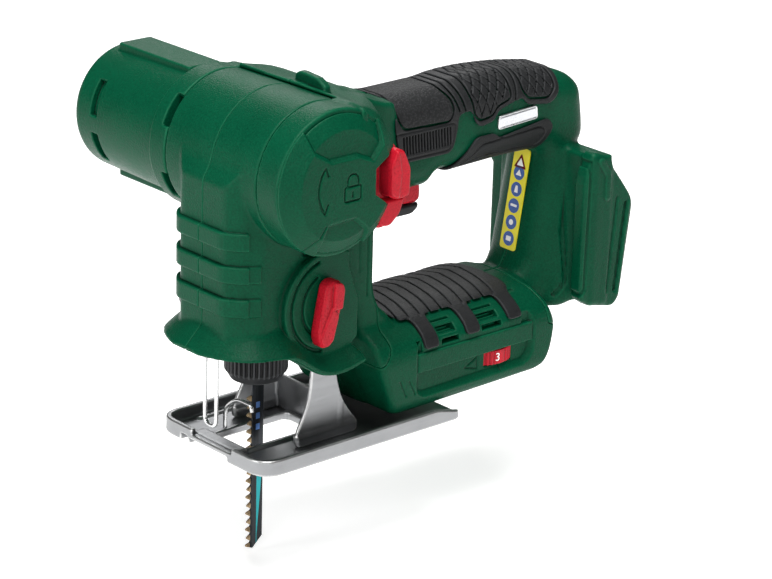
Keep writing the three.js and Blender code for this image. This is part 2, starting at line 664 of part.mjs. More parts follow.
function plungerParts() {
  const yokeReach = CRANK_THROW + 7;
  const yokeZ = crankAxis.z - REST_DROP;
  const shaft = rodZ(PLUNGER_R, SLEEVE_TOP - 1, PLUNGER_TOP, 0, 0, 20);
  const yoke = box(-yokeReach, yokeReach, -YOKE_HALF, YOKE_HALF, yokeZ - 6.5, yokeZ + 6.5);
  const yokeSlot = box(-yokeReach + 3, yokeReach - 3, -FAR, FAR, yokeZ - 4.2, yokeZ + 4.2);
  const chuckBody = rodZ(CHUCK_R, CHUCK_BOTTOM, SLEEVE_TOP, 0, 0, 24);
  const bladeSlot = box(
    BLADE_BACK - PLUNGER_X - GAP, BLADE_BACK + BLADE_WIDTH - PLUNGER_X + GAP,
    -BLADE_THICKNESS / 2 - GAP, BLADE_THICKNESS / 2 + GAP, CHUCK_BOTTOM - 1, 46,
  );
  const upperPart = cut(join(shaft, yoke), yokeSlot);
  add(plungerLine, "plunger", cut(join(upperPart, chuckBody), bladeSlot), steel);

  const sleeveWall = turnedZ([
    [CHUCK_R + GAP, SLEEVE_BOTTOM], [SLEEVE_R - 1.5, SLEEVE_BOTTOM], [SLEEVE_R, SLEEVE_BOTTOM + 2],
    [SLEEVE_R, SLEEVE_TOP], [CHUCK_R + GAP, SLEEVE_TOP], [CHUCK_R + GAP, SLEEVE_BOTTOM],
  ]);
  add(plungerLine, "chuck_sleeve", sleeveWall, black);

  const frame = join(
    box(-12, 12, 9.3, 12.5, lowerBush[0], PLUNGER_TOP + 2),
    box(-9, 9, -9.2, 9.5, lowerBush[0], lowerBush[1]),
    box(-9, 9, -9.2, 9.5, upperBush[0], upperBush[1]),
  );
  const bushRoom = rodZ(PLUNGER_R + 2.6, -FAR, FAR, 0, 0, 24);
  add(plungerLine, "plunger_frame", cut(frame, bushRoom), grey);
  for (const [name, [low, high]] of Object.entries({ lower_bush: lowerBush, upper_bush: upperBush })) {
    add(plungerLine, name, turnedZ(tube(PLUNGER_R + 0.3, PLUNGER_R + 2.3, low, high)), brass);
  }

  const front = BLADE_BACK + BLADE_WIDTH;
  const outline = [[BLADE_BACK, 44], [BLADE_BACK, BLADE_TIP + 5], [BLADE_BACK + 5.5, BLADE_TIP]];
  const firstTooth = BLADE_TIP + 0.6;
  const teeth = Math.floor((24 - firstTooth) / TOOTH_PITCH);
  for (let i = 0; i < teeth; i++) {
    const z = firstTooth + i * TOOTH_PITCH;
    outline.push([front + TOOTH_DEPTH, z + 0.6], [front + TOOTH_DEPTH - 0.5, z + 1.5], [front, z + 2.6]);
  }
  outline.push([front, 44]);
  const blade = sideways(outline, -BLADE_THICKNESS / 2, BLADE_THICKNESS / 2);
  add(head, "saw_blade", blade, bladeBlack);
}

// ---------------------------------------------------------------- the head's housing
const neckSide = [
  [NECK_FRONT, BARREL_Z], [NECK_FRONT, NECK_BOTTOM + 2], [41, NECK_BOTTOM + 2], [24, 42], [16, 39.6],
  [-1, 42.5], [-1.4, 69], [4, 86], [4, BARREL_Z],
];
const neckPlan = mirrored([
  [NECK_FRONT, 15], [NECK_FRONT - 5, 21.5], [NECK_FRONT - 13, NECK_HALF], [-8, NECK_HALF],
]);
const skirtSide = [
  [FAR, NECK_BOTTOM], [FAR, NECK_BOTTOM + SKIRT_RIM], [41, NECK_BOTTOM + SKIRT_RIM], [24, 44.5], [16, 42.1],
  [6, 43.1], [-2, 45.5], [-2, 41], [6, 38.6], [16, 37.6], [24, 40], [41, NECK_BOTTOM],
];
const skirtPlan = mirrored([
  [SKIRT_FRONT, 4], [68, 11], [63.7, 21], [57, 28.6], [40.8, 33.6], [36, SKIRT_HALF], [-2, SKIRT_HALF],
]);

function planShape(points, grow = 0) {
  return upward(inset(points, -grow), 0, 150);
}

function headSolid() {
  const barrel = barrelCylinder(BARREL_R, HEAD_FAR, HEAD_NEAR);
  const neck = sideways(neckSide, ...ACROSS).intersect(planShape(neckPlan));
  const ribs = [];
  for (let i = 0; i < 3; i++) {
    const low = RIB_LOWEST + i * RIB_PITCH;
    const band = upward(inset(neckPlan, -RIB_PROUD), low, low + RIB_HEIGHT);
    ribs.push(band.intersect(box(46, FAR, -FAR, FAR, 0, FAR)));
  }
  const skirt = sideways(skirtSide, ...ACROSS).intersect(planShape(skirtPlan));
  const slopeSteps = 2;
  const slope = [];
  for (let i = 1; i <= slopeSteps; i++) {
    const raised = skirtSide.map(([x, z]) => [x, z + 2.2 * i]);
    slope.push(sideways(raised, ...ACROSS).intersect(planShape(skirtPlan, -2.2 * i)));
  }
  const pads = [-1, 1].map((side) => {
    const face = side * CLAMP_PAD_FACE;
    return rodY(CLAMP_PAD_R, Math.min(0, face), Math.max(0, face), CLAMP_X, CLAMP_Z, 32);
  });
  const behind = sideways([[-FAR, 0], [-1.6, 0], [-1.6, 69], [4, 86], [4, FAR], [-FAR, FAR]], -FAR, FAR);
  const lower = cut(join(neck, ...ribs, skirt, ...slope, ...pads), behind);
  return join(barrel, lower);
}

function headCavity() {
  const floor = 57;
  const barrel = barrelCylinder(BARREL_R - WALL, HEAD_FAR + WALL, HEAD_NEAR - WALL);
  const inFront = NECK_FRONT - WALL;
  const neck = sideways([
    [inFront - 6, BARREL_Z], [inFront, BARREL_Z - WALL - 2], [inFront, floor + WALL],
    [1.5, floor + WALL], [1.5, 69], [6.8, 86], [6.8, BARREL_Z],
  ], ...ACROSS).intersect(planShape(inset(neckPlan, WALL)));
  const under = sideways([
    [NECK_FRONT - 1, floor], [NECK_FRONT - 1, 0], [1, 0], [1, floor],
  ], ...ACROSS).intersect(planShape(inset(neckPlan, WALL)));
  const sleeveHole = rodZ(SLEEVE_R + 1.5, 0, 65, PLUNGER_X, 0);
  const legSlots = [-1, 1].map((side) => {
    const outer = side * (LEG_FACE + GAP);
    const inner = side * (LEG_FACE - LEG_SHEET - GAP);
    return box(3.5, 20.5, Math.min(outer, inner), Math.max(outer, inner), 0, 62);
  });
  const holeR = WIRE_R + GAP;
  const guardHoles = [-1, 1].map((side) => rodZ(holeR, 0, 65, GUARD_X, side * GUARD_HALF, 12));
  const clampHole = rodY(CLAMP_SHAFT_R + GAP, 10, 40, CLAMP_X, CLAMP_Z, 24);
  const farHole = barrelCylinder(TRUNNION_R + GAP, HEAD_FAR - 1, HEAD_FAR + WALL + 1);
  const nearHole = barrelCylinder(TRUNNION_R + GAP, HEAD_NEAR - WALL - 1, HEAD_NEAR + 1);
  return [barrel, neck, under, sleeveHole, ...legSlots, ...guardHoles, clampHole, farHole, nearHole];
}

function headParts() {
  const housing = headSolid();
  const [barrel, neck, ...openings] = headCavity();
  const shell = join(cut(housing, barrel, neck), ...posts(headScrews, housing));
  const whole = cut(shell, ...openings, ...screwRooms(headScrews));
  add(head, "head_shell_left", half(whole, 1), green);
  add(head, "head_shell_right", half(whole, -1), green);
  const top = 63;
  const bottom = 14;
  const guard = wire([
    [GUARD_X, -GUARD_HALF, top], [GUARD_X, -GUARD_HALF, bottom], [GUARD_X, GUARD_HALF, bottom],
    [GUARD_X, GUARD_HALF, top],
  ], WIRE_R);
  add(head, "wire_guard", guard, steel);

  const lever = [
    [12.6, 79.5], [14.5, 82.8], [18.5, 83.6], [22, 81.5], [26.5, 58.5], [25, 53.5], [21.5, 52.8],
    [18, 55.5], [13.8, 69],
  ];
  const low = CLAMP_PAD_FACE + GAP;
  const hub = rodY(CLAMP_SHAFT_R + 0.8, low, low + 2, CLAMP_X, CLAMP_Z);
  add(head, "shoe_lever", join(sideways(lever, low, low + 8, { bevel: 1.2 }), hub), red);
  const shaft = rodY(CLAMP_SHAFT_R, LEG_FACE + GAP, CLAMP_PAD_FACE - 0.1, CLAMP_X, CLAMP_Z, 24);
  add(head, "clamp_shaft", shaft, steel);
}

// ---------------------------------------------------------------- shoe
function shoeParts() {
  const corner = 9;
  const plan = mirrored([
    [SHOE_FRONT, SHOE_HALF - corner], [SHOE_FRONT - 1.2, SHOE_HALF - 4.5],
    [SHOE_FRONT - 4.5, SHOE_HALF - 1.2], [SHOE_FRONT - corner, SHOE_HALF], [SHOE_REAR + 3, SHOE_HALF], [SHOE_REAR, SHOE_HALF - 3],
  ]);
  const inner = inset(plan, SHEET).map(([x, y]) => [x < SHOE_REAR + 8 ? SHOE_REAR - 5 : x, y]);
  const opening = box(SLOT_REAR, SLOT_FRONT, -SLOT_HALF, SLOT_HALF, -1, 10);
  const archUnder = box(SLOT_FRONT - 1, FAR, -15, 12, -1, 2.8);
  const bridge = box(SLOT_FRONT, SHOE_FRONT - 1, -17, 14, 2.2, 4.6);
  const sightNotch = box(SHOE_FRONT - 4, FAR, -13, -7, 5, 10);
  const edgeNotch = box(SHOE_FRONT - 4, FAR, -21, -16, -1, 3.4);
  const tray = cut(upward(plan, 0, SHOE_EDGE), upward(inner, SHEET, SHOE_EDGE + 1));
  const shoe = cut(join(cut(tray, opening, archUnder), bridge), sightNotch, edgeNotch);
  add(head, "shoe", shoe, steel);

  const legOutline = [
    [5, LEG_TOP], [18.5, LEG_TOP], [18.5, 36], [20, 22], [27, 9], [27, SHEET + GAP], [-8, SHEET + GAP],
    [-8, 8], [1, 20], [5, 36],
  ];
  const legs = [-1, 1].map((side) => {
    const faces = [side * (LEG_FACE - LEG_SHEET), side * LEG_FACE];
    return sideways(legOutline, Math.min(...faces), Math.max(...faces));
  });
  const web = box(0.5, 2.5, -LEG_FACE, LEG_FACE, SHEET + GAP, 19);
  add(head, "shoe_bracket", join(...legs, web), steel);

  const wireX = SLOT_FRONT - 8.5;
  const footY = -SLOT_HALF - 2.5;
  const stem = wire([
    [wireX, footY, SHEET + GAP], [wireX, footY, 13], [wireX, -5, 20], [wireX, 5, 20],
  ], WIRE_R);
  add(head, "blade_guide", stem, steel);
}

// ---------------------------------------------------------------- screws, all driven from the far side
// Each place is (x, z) and the y of the face that the screw's head lies flush with.
const handleScrews = [
  [-26, 19, -BODY_HALF], [-110, 22, -BODY_HALF], [-8, 92, -COLUMN_HALF], [-146, 122, RUBBER - GRIP_HALF],
];
const headScrews = [[54, 66.5, -NECK_HALF + 2], [44, 151.5, HEAD_FAR], [7, 151.5, HEAD_FAR]];
const SCREW_HEAD_R = 3;
const SCREW_HEAD = 1.3; // its thickness
const SCREW_R = 1.5;
const SCREW_END = 7; // how far it reaches past the seam

// Posts across both shells, trimmed to the housing, that the screws run in.
function posts(places, housing) {
  return places.map(([x, z]) => rodY(SCREW_R + 2.3, ...ACROSS, x, z, 8).intersect(housing));
}

function screwRooms(places) {
  return places.map(([x, z, face]) =>
    join(
      rodY(SCREW_R + GAP, face, SCREW_END + 1, x, z, 8),
      rodY(SCREW_HEAD_R + GAP, face - 10, face + SCREW_HEAD + GAP, x, z, 12),
    ),
  );
}

function screws(parent, prefix, places) {
  places.forEach(([x, z, face], i) => {
    const profile = [
      [0, face], [SCREW_HEAD_R, face], [SCREW_HEAD_R, face + SCREW_HEAD], [SCREW_R, face + SCREW_HEAD],
      [SCREW_R, SCREW_END], [0, SCREW_END],
    ];
    add(parent, `${prefix}_${i + 1}`, turnedY(profile, 8), darkSteel).position.set(x, 0, z);
  });
}

handleShells();
grips();
controls();
motorParts();
crankParts();
plungerParts();
headParts();
shoeParts();
screws(group, "handle_screw", handleScrews);
screws(head, "head_screw", headScrews);

export default group;
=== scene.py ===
import math

import bpy
import numpy as np
from mathutils import Matrix, Vector


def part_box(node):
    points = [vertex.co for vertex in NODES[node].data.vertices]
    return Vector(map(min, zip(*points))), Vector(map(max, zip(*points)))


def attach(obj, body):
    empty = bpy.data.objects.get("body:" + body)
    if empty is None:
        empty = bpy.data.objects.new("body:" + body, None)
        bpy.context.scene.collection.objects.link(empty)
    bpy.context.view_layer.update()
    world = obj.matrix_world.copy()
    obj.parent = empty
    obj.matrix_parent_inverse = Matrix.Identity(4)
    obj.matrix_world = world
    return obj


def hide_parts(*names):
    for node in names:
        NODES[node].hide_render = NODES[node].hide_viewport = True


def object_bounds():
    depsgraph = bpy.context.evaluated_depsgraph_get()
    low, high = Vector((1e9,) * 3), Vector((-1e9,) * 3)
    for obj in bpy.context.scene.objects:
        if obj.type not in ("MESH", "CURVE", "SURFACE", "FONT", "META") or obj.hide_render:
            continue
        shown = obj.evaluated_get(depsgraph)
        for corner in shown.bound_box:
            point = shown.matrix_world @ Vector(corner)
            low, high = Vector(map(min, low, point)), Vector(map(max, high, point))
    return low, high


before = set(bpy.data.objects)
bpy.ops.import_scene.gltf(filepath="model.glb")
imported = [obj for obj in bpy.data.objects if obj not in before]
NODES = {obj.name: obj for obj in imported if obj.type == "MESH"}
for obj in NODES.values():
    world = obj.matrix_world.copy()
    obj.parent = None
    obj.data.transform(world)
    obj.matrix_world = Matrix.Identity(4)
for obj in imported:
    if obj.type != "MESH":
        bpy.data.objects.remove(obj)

# A cordless jigsaw with a pivoting head. X is the cutting direction, +Y the tool's left, Z up.
# Sculpting sizes are in mm; everything that goes into Blender is in metres.
CAD_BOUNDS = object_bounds()
MM = 0.001
COARSE = 1.0


def spot(node, share_x, share_y, share_z):
    """A point of a CAD node's box, in mm, as shares of its three sides."""
    low, high = (np.array(v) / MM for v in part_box(node))
    return low + (high - low) * np.array([share_x, share_y, share_z])


# ---------------------------------------------------------------- places taken from the frame
BARREL_X, _, BARREL_Z = spot("motor_cover", 0.5, 0.5, 0.5)
PLUNGER_X = spot("chuck_sleeve", 0.5, 0.5, 0.5)[0]
STROKE_UP = 14
DISC_FACE = spot("pivot_cap", 0, 0, 0)[1]
CAP_FACE = spot("pivot_cap", 0, 1, 0)[1]
HEAD_NEAR, HEAD_FAR = 30.2, -32.2
RING_FAR = spot("handle_shell_right", 0, 0, 0)[1]
BARREL_R = 33.0
CAP_LOW = 44.9
GAP = 0.3


# ---------------------------------------------------------------- sculpting in a block of distances
def softened(points, radius, steps=4):
    """An outline with each corner rounded by a short arc."""
    out = []
    points = [np.array(p, float) for p in points]
    for before, here, after in zip(points[-1:] + points[:-1], points, points[1:] + points[:1]):
        back, ahead = before - here, after - here
        reach = min(radius, np.linalg.norm(back) * 0.45, np.linalg.norm(ahead) * 0.45)
        start = here + back / np.linalg.norm(back) * reach
        end = here + ahead / np.linalg.norm(ahead) * reach
        for t in np.linspace(0, 1, steps):
            out.append(tuple((1 - t) ** 2 * start + 2 * t * (1 - t) * here + t * t * end))
    return out


def polygon(points, a, b):
    """Signed distance in a plane to a closed outline, negative inside."""
    near = np.full(np.broadcast(a, b).shape, 1e9, np.float32)
    odd = np.zeros(near.shape, bool)
    for (a0, b0), (a1, b1) in zip(points, points[1:] + points[:1]):
        da, db = a1 - a0, b1 - b0
        t = np.clip(((a - a0) * da + (b - b0) * db) / (da * da + db * db + 1e-9), 0, 1)
        near = np.minimum(near, (a - a0 - t * da) ** 2 + (b - b0 - t * db) ** 2)
        if b0 != b1:
            odd ^= ((b0 > b) != (b1 > b)) & (a < a0 + (b - b0) * da / db)
    return (np.where(odd, -1, 1) * np.sqrt(near)).astype(np.float32)


def path(points, a, b):
    """Distance in a plane to a line of straight runs."""
    near = 1e9
    for (a0, b0), (a1, b1) in zip(points, points[1:]):
        da, db = a1 - a0, b1 - b0
        t = np.clip(((a - a0) * da + (b - b0) * db) / (da * da + db * db + 1e-9), 0, 1)
        near = np.minimum(near, (a - a0 - t * da) ** 2 + (b - b0 - t * db) ** 2)
    return np.sqrt(near)


def arc(centre, radius, start, end, steps=12):
    angles = np.radians(np.linspace(start, end, steps))
    return [(centre[0] + radius * math.cos(t), centre[1] + radius * math.sin(t)) for t in angles]


def either(a, b, r=0):
    """Union of two distances, with a fillet of radius r."""
    if not r:
        return np.minimum(a, b)
    return np.maximum(r, np.minimum(a, b)) - np.hypot(np.maximum(r - a, 0), np.maximum(r - b, 0))


def both(a, b, r=0):
    """Intersection of two distances, with its edge rounded to radius r."""
    if not r:
        return np.maximum(a, b)
    return np.minimum(-r, np.maximum(a, b)) + np.hypot(np.maximum(r + a, 0), np.maximum(r + b, 0))


def slab(flat, along, low, high, r=0.8):
    """A plane shape given thickness along the third direction, with round edges."""
    return both(flat, np.abs(along - (low + high) / 2) - (high - low) / 2, r)


def side(points, low, high, r=0.8, grow=0.0):
    return lambda x, y, z: slab(polygon(points, x, z) - grow, y, low, high, r)


def block(x0, x1, y0, y1, z0, z1, r=0.6):
    def shape(x, y, z):
        a = np.abs(x - (x0 + x1) / 2) - (x1 - x0) / 2 + r
        b = np.abs(y - (y0 + y1) / 2) - (y1 - y0) / 2 + r
        c = np.abs(z - (z0 + z1) / 2) - (z1 - z0) / 2 + r
        outside = np.sqrt(np.maximum(a, 0) ** 2 + np.maximum(b, 0) ** 2 + np.maximum(c, 0) ** 2)
        return outside + np.minimum(np.maximum(np.maximum(a, b), c), 0) - r
    return shape


def disc_y(x0, z0, radius, low, high, r=0.6):
    return lambda x, y, z: slab(np.hypot(x - x0, z - z0) - radius, y, low, high, r)


def disc_z(x0, y0, radius, low, high, r=0.6):
    return lambda x, y, z: slab(np.hypot(x - x0, y - y0) - radius, z, low, high, r)


def turned(profile, centre_x, centre_z):
    """A closed (radius, y) profile turned about the barrel's direction."""
    return lambda x, y, z: polygon(profile, np.hypot(x - centre_x, z - centre_z), y)


class Clay:
    """A block of space sampled on a grid, in mm, holding signed distances."""

    def __init__(self, low, high, cell):
        self.cell = np.float32(cell * COARSE)
        self.low = np.array(low, np.float32) - 2 * self.cell
        counts = np.ceil((np.array(high) - np.array(low)) / self.cell).astype(int) + 5
        self.lines = [self.low[i] + self.cell * np.arange(counts[i], dtype=np.float32) for i in range(3)]
        self.d = np.full(counts, 60, np.float32)
        self.skin = None

    def room(self, box):
        spans = []
        for line, span in zip(self.lines, box or (None, None, None)):
            low, high = span or (-1e9, 1e9)
            spans.append(slice(np.searchsorted(line, low), np.searchsorted(line, high)))
        x, y, z = (line[span] for line, span in zip(self.lines, spans))
        return tuple(spans), (x[:, None, None], y[None, :, None], z[None, None, :])

    def add(self, shape, r=0, box=None):
        cells, place = self.room(box)
        self.d[cells] = either(self.d[cells], shape(*place), r)

    def keep(self, shape, r=0, box=None):
        cells, place = self.room(box)
        self.d[cells] = both(self.d[cells], shape(*place), r)

    def cut(self, shape, r=0, box=None):
        cells, place = self.room(box)
        self.d[cells] = both(self.d[cells], -shape(*place), r)

    def settle(self):
        """Remembers the present surface for the features cut into it and raised on it."""
        self.skin = self.d.copy()

    def engrave(self, flat, depth, r=0.25, box=None):
        cells, place = self.room(box)
        tool = both(flat(*place), -(self.skin[cells] + depth), r)
        self.d[cells] = both(self.d[cells], -tool, r)

    def emboss(self, flat, height, r=0.25, box=None):
        cells, place = self.room(box)
        self.d[cells] = either(self.d[cells], both(flat(*place), self.skin[cells] - height, r), r)

    def fill(self, shape, r=0.3):
        """Adds a shape, but only inside the remembered surface."""
        _, place = self.room(None)
        self.d = either(self.d, both(shape(*place), self.skin, r), r)

    def sample(self, points):
        """The distance at any points, in cells from the block's corner."""
        base = np.clip(np.floor(points).astype(int), 0, np.array(self.d.shape) - 2)
        share = (points - base).astype(np.float32)
        total = 0
        for i in (0, 1):
            for j in (0, 1):
                for k in (0, 1):
                    weight = 1
                    for axis, bit in enumerate((i, j, k)):
                        weight = weight * (share[:, axis] if bit else 1 - share[:, axis])
                    total = total + weight * self.d[base[:, 0] + i, base[:, 1] + j, base[:, 2] + k]
        return total

    def slope(self, points, reach=0.7):
        columns = []
        for axis in range(3):
            step = np.zeros(3, np.float32)
            step[axis] = reach
            columns.append(self.sample(points + step) - self.sample(points - step))
        gradient = np.stack(columns, 1)
        return gradient / np.maximum(np.linalg.norm(gradient, axis=1, keepdims=True), 1e-6)

    def surface(self):
        """Quads round the zero surface, one vertex to each cell that it passes through."""
        d = self.d
        d[[0, -1]] = 9
        d[:, [0, -1]] = 9
        d[:, :, [0, -1]] = 9
        inside = d < 0
        n = [s - 1 for s in d.shape]
        corners = [(i, j, k) for i in (0, 1) for j in (0, 1) for k in (0, 1)]
        count = np.zeros(n, np.uint8)
        for i, j, k in corners:
            count += inside[i:i + n[0], j:j + n[1], k:k + n[2]]
        cells = np.argwhere((count > 0) & (count < 8))
        value = {c: d[cells[:, 0] + c[0], cells[:, 1] + c[1], cells[:, 2] + c[2]] for c in corners}
        total = np.zeros((len(cells), 3), np.float32)
        hits = np.zeros(len(cells), np.float32)
        for c in corners:
            for axis in range(3):
                if c[axis]:
                    continue
                e = tuple(v + (i == axis) for i, v in enumerate(c))
                crossed = (value[c] < 0) != (value[e] < 0)
                t = np.where(crossed, value[c] / np.where(crossed, value[c] - value[e], 1), 0)
                for i in range(3):
                    total[:, i] += crossed * (t if i == axis else c[i])
                hits += crossed
        points = cells + total / hits[:, None]
        number = np.full(n, -1, np.int32)
        number[tuple(cells.T)] = np.arange(len(cells))
        quads = []
        for axis in range(3):
            b, c = (axis + 1) % 3, (axis + 2) % 3
            here = [slice(1, n[i]) for i in range(3)]
            there = list(here)
            here[axis] = slice(0, n[axis])
            there[axis] = slice(1, n[axis] + 1)
            low, high = inside[tuple(here)], inside[tuple(there)]
            for first, order in ((low & ~high, 1), (high & ~low, -1)):
                start = np.argwhere(first)
                start[:, b] += 1
                start[:, c] += 1
                ring = []
                for sb, sc in ((1, 1), (0, 1), (0, 0), (1, 0))[::order]:
                    cell = start.copy()
                    cell[:, b] -= sb
                    cell[:, c] -= sc
                    ring.append(number[tuple(cell.T)])
                quads.append(np.stack(ring, 1))
        return points, np.concatenate(quads)

    def piece(self, name, body, replaced, material, flip=False):
        """The sculpted mesh as a Blender object that rides on a body."""
        points, quads = self.surface()
        for _ in range(2):
            points = points - np.clip(self.sample(points) / self.cell, -0.5, 0.5)[:,
                None] * self.slope(points)
        normals = self.slope(points)
        bend = self.curve(points, normals)
        place = (self.low + points * self.cell) * MM
        if flip:
            place[:, 1] *= -1
            normals[:, 1] *= -1
            quads = quads[:, ::-1]
        mesh = bpy.data.meshes.new(name)
        mesh.vertices.add(len(place))
        mesh.vertices.foreach_set("co", place.astype(np.float32).ravel())
        mesh.loops.add(quads.size)
        mesh.loops.foreach_set("vertex_index", quads.ravel())
        mesh.polygons.add(len(quads))
        mesh.polygons.foreach_set("loop_start", np.arange(0, quads.size, 4, dtype=np.int32))
        mesh.update(calc_edges=True)
        mesh.polygons.foreach_set("use_smooth", np.ones(len(quads), bool))
        mesh.attributes.new("edge", "FLOAT", "POINT").data.foreach_set("value", bend)
        mesh.validate()
        mesh.normals_split_custom_set_from_vertices(normals.astype(float))
        made = bpy.data.objects.new(name, mesh)
        bpy.context.scene.collection.objects.link(made)
        finish_piece(made, body, replaced, material)
        return made

    def curve(self, points, normals):
        """How convex the surface is at each point: 0.5 on flats, towards 1 on edges and 0 in grooves."""
        reach = 1.3
        across = np.cross(normals, np.roll(normals, 1, axis=1) + 0.31)
        across /= np.maximum(np.linalg.norm(across, axis=1, keepdims=True), 1e-6)
        other = np.cross(normals, across)
        total = sum(self.sample(points + reach * v) for v in (across, -across, other, -other))
        return np.clip(0.5 + total / (4 * self.cell) * 1.1, 0, 1).astype(np.float32)


def finish_piece(made, body, replaced, material):
    for each in material if isinstance(material, (list, tuple)) else [material]:
        made.data.materials.append(each)
    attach(made, body)
    if replaced:
        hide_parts(*replaced)
    return made


# ---------------------------------------------------------------- materials
class Nodes:
    """A material's node tree, built by short calls."""

    def __init__(self, name, **constants):
        self.material = bpy.data.materials.new(name)
        self.material.use_nodes = True
        self.tree = self.material.node_tree
        self.shader = self.tree.nodes["Principled BSDF"]
        for key, value in constants.items():
            self.shader.inputs[key.replace("_", " ")].default_value = value
        self.place = self.tree.nodes.new("ShaderNodeTexCoord").outputs["Object"]

    def put(self, socket, value):
        if isinstance(value, bpy.types.NodeSocket):
            self.tree.links.new(value, socket)
        else:
            socket.default_value = value

    def math(self, operation, a, b=0.0, clamp=False):
        node = self.tree.nodes.new("ShaderNodeMath")
        node.operation = operation
        node.use_clamp = clamp
        self.put(node.inputs[0], a)
        self.put(node.inputs[1], b)
        return node.outputs[0]

    def noise(self, scale, detail=2.0, stretch=None):
        node = self.tree.nodes.new("ShaderNodeTexNoise")
        node.inputs["Scale"].default_value = scale
        node.inputs["Detail"].default_value = detail
        place = self.place
        if stretch:
            mapping = self.tree.nodes.new("ShaderNodeMapping")
            mapping.inputs["Scale"].default_value = stretch
            self.put(mapping.inputs["Vector"], place)
            place = mapping.outputs[0]
        self.put(node.inputs["Vector"], place)
        return node.outputs["Fac"]

    def cells(self, scale, feature="F1"):
        node = self.tree.nodes.new("ShaderNodeTexVoronoi")
        node.feature = feature
        node.inputs["Scale"].default_value = scale
        self.put(node.inputs["Vector"], self.place)
        return node.outputs["Distance"]

    def spread(self, value, low, high, to_low, to_high):
        node = self.tree.nodes.new("ShaderNodeMapRange")
        for socket, number in zip(node.inputs[1:5], (low, high, to_low, to_high)):
            socket.default_value = number
        self.put(node.inputs[0], value)
        return node.outputs[0]

    def mix(self, share, a, b):
        node = self.tree.nodes.new("ShaderNodeMix")
        node.data_type = "RGBA"
        self.put(node.inputs["Factor"], share)
        self.put(node.inputs["A"], a)
        self.put(node.inputs["B"], b)
        return node.outputs["Result"]

    def bump(self, height, strength, distance, normal=None):
        node = self.tree.nodes.new("ShaderNodeBump")
        node.inputs["Strength"].default_value = strength
        node.inputs["Distance"].default_value = distance
        self.put(node.inputs["Height"], height)
        if normal:
            self.put(node.inputs["Normal"], normal)
        return node.outputs[0]

    def attribute(self, name):
        node = self.tree.nodes.new("ShaderNodeAttribute")
        node.attribute_name = name
        return node.outputs["Fac"]

    def done(self, colour, roughness, normal=None):
        self.put(self.shader.inputs["Base Color"], colour)
        self.put(self.shader.inputs["Roughness"], roughness)
        if normal:
            self.put(self.shader.inputs["Normal"], normal)
        return self.material


def shade(hex_colour, factor=1.0):
    """An sRGB colour as linear red, green, blue and alpha."""
    parts = [int(hex_colour[i:i + 2], 16) / 255 for i in (0, 2, 4)]
    linear = [p / 12.92 if p <= 0.04045 else ((p + 0.055) / 1.055) ** 2.4 for p in parts]
    return tuple(v * factor for v in linear) + (1.0,)


def moulded(name, colour, edge_highlight, rough=0.42, grain=0.22, size=1500, sculpted=True, **constants):
    """Moulded plastic or rubber with a spark-eroded grain, painted highlight on its edges and painted shade
    in its grooves.
    """
    n = Nodes(name, **constants)
    fine = n.noise(size, 3)
    patches = n.noise(38, 3)
    tone = n.math("ADD", n.spread(patches, 0.3, 0.7, 0.3, 0.7), n.spread(fine, 0.35, 0.65, -0.4, 0.4), True)
    base = n.mix(tone, shade(colour, 0.8), shade(colour, 1.2))
    if sculpted:
        edge = n.attribute("edge")
        # painted highlight: convex edges lightened towards the lighter edge colour, in place of the sheen
        # on the edges
        base = n.mix(n.spread(edge, 0.6, 1.0, 0, 0.5), base, shade(edge_highlight))
        # painted shade: grooves and creases darkened towards a near-black copy of the colour
        base = n.mix(n.spread(edge, 0.44, 0.12, 0, 0.8), base, shade(colour, 0.12))
    speck = n.spread(fine, 0.35, 0.7, -0.07, 0.09)
    rubbed = n.math("ADD", n.spread(patches, 0.3, 0.75, rough - 0.04, rough + 0.05), speck)
    return n.done(base, rubbed, n.bump(fine, grain, 0.0004))


def metal(name, colour, rough=0.3, stretch=(30, 900, 900), depth=0.06, sculpted=False):
    """Steel with fine drawn lines and small clouds of wear; sculpted pieces get a painted highlight on
    edges and painted shade in grooves.
    """
    n = Nodes(name, Metallic=1.0)
    lines = n.noise(1, 3, stretch)
    clouds = n.noise(55, 4)
    base = n.mix(n.spread(clouds, 0.3, 0.7, 0, 1), shade(colour, 0.88), shade(colour, 1.06))
    if sculpted:
        edge = n.attribute("edge")
        # painted highlight: convex edges lightened towards near white
        base = n.mix(n.spread(edge, 0.56, 0.95, 0, 0.8), base, shade("f4f4f2"))
        # painted shade: grooves and recesses darkened towards a dark copy of the steel colour
        base = n.mix(n.spread(edge, 0.42, 0.1, 0, 0.5), base, shade(colour, 0.35))
    rubbed = n.math("ADD", n.spread(clouds, 0.3, 0.7, rough - 0.05, rough + 0.07),
        n.spread(lines, 0.3, 0.7, -0.04, 0.06))
    return n.done(base, rubbed, n.bump(lines, depth, 0.0002))


def leather(name):
    """Rubber with a pebbled, leather-like grain."""
    n = Nodes(name, Specular_IOR_Level=0.25)
    pebbles = n.cells(950)
    fine = n.noise(2300, 3)
    height = n.math("ADD", n.spread(pebbles, 0.0, 0.6, 1, 0), n.math("MULTIPLY", fine, 0.35))
    base = n.mix(n.spread(pebbles, 0.15, 0.65, 0, 1), shade("262728"), shade("161718"))
    edge = n.attribute("edge")
    # painted shade: grooves darkened towards near black
    base = n.mix(n.spread(edge, 0.42, 0.1, 0, 0.8), base, shade("060606"))
    return n.done(base, n.spread(pebbles, 0, 0.6, 0.42, 0.6), n.bump(height, 0.55, 0.0004))


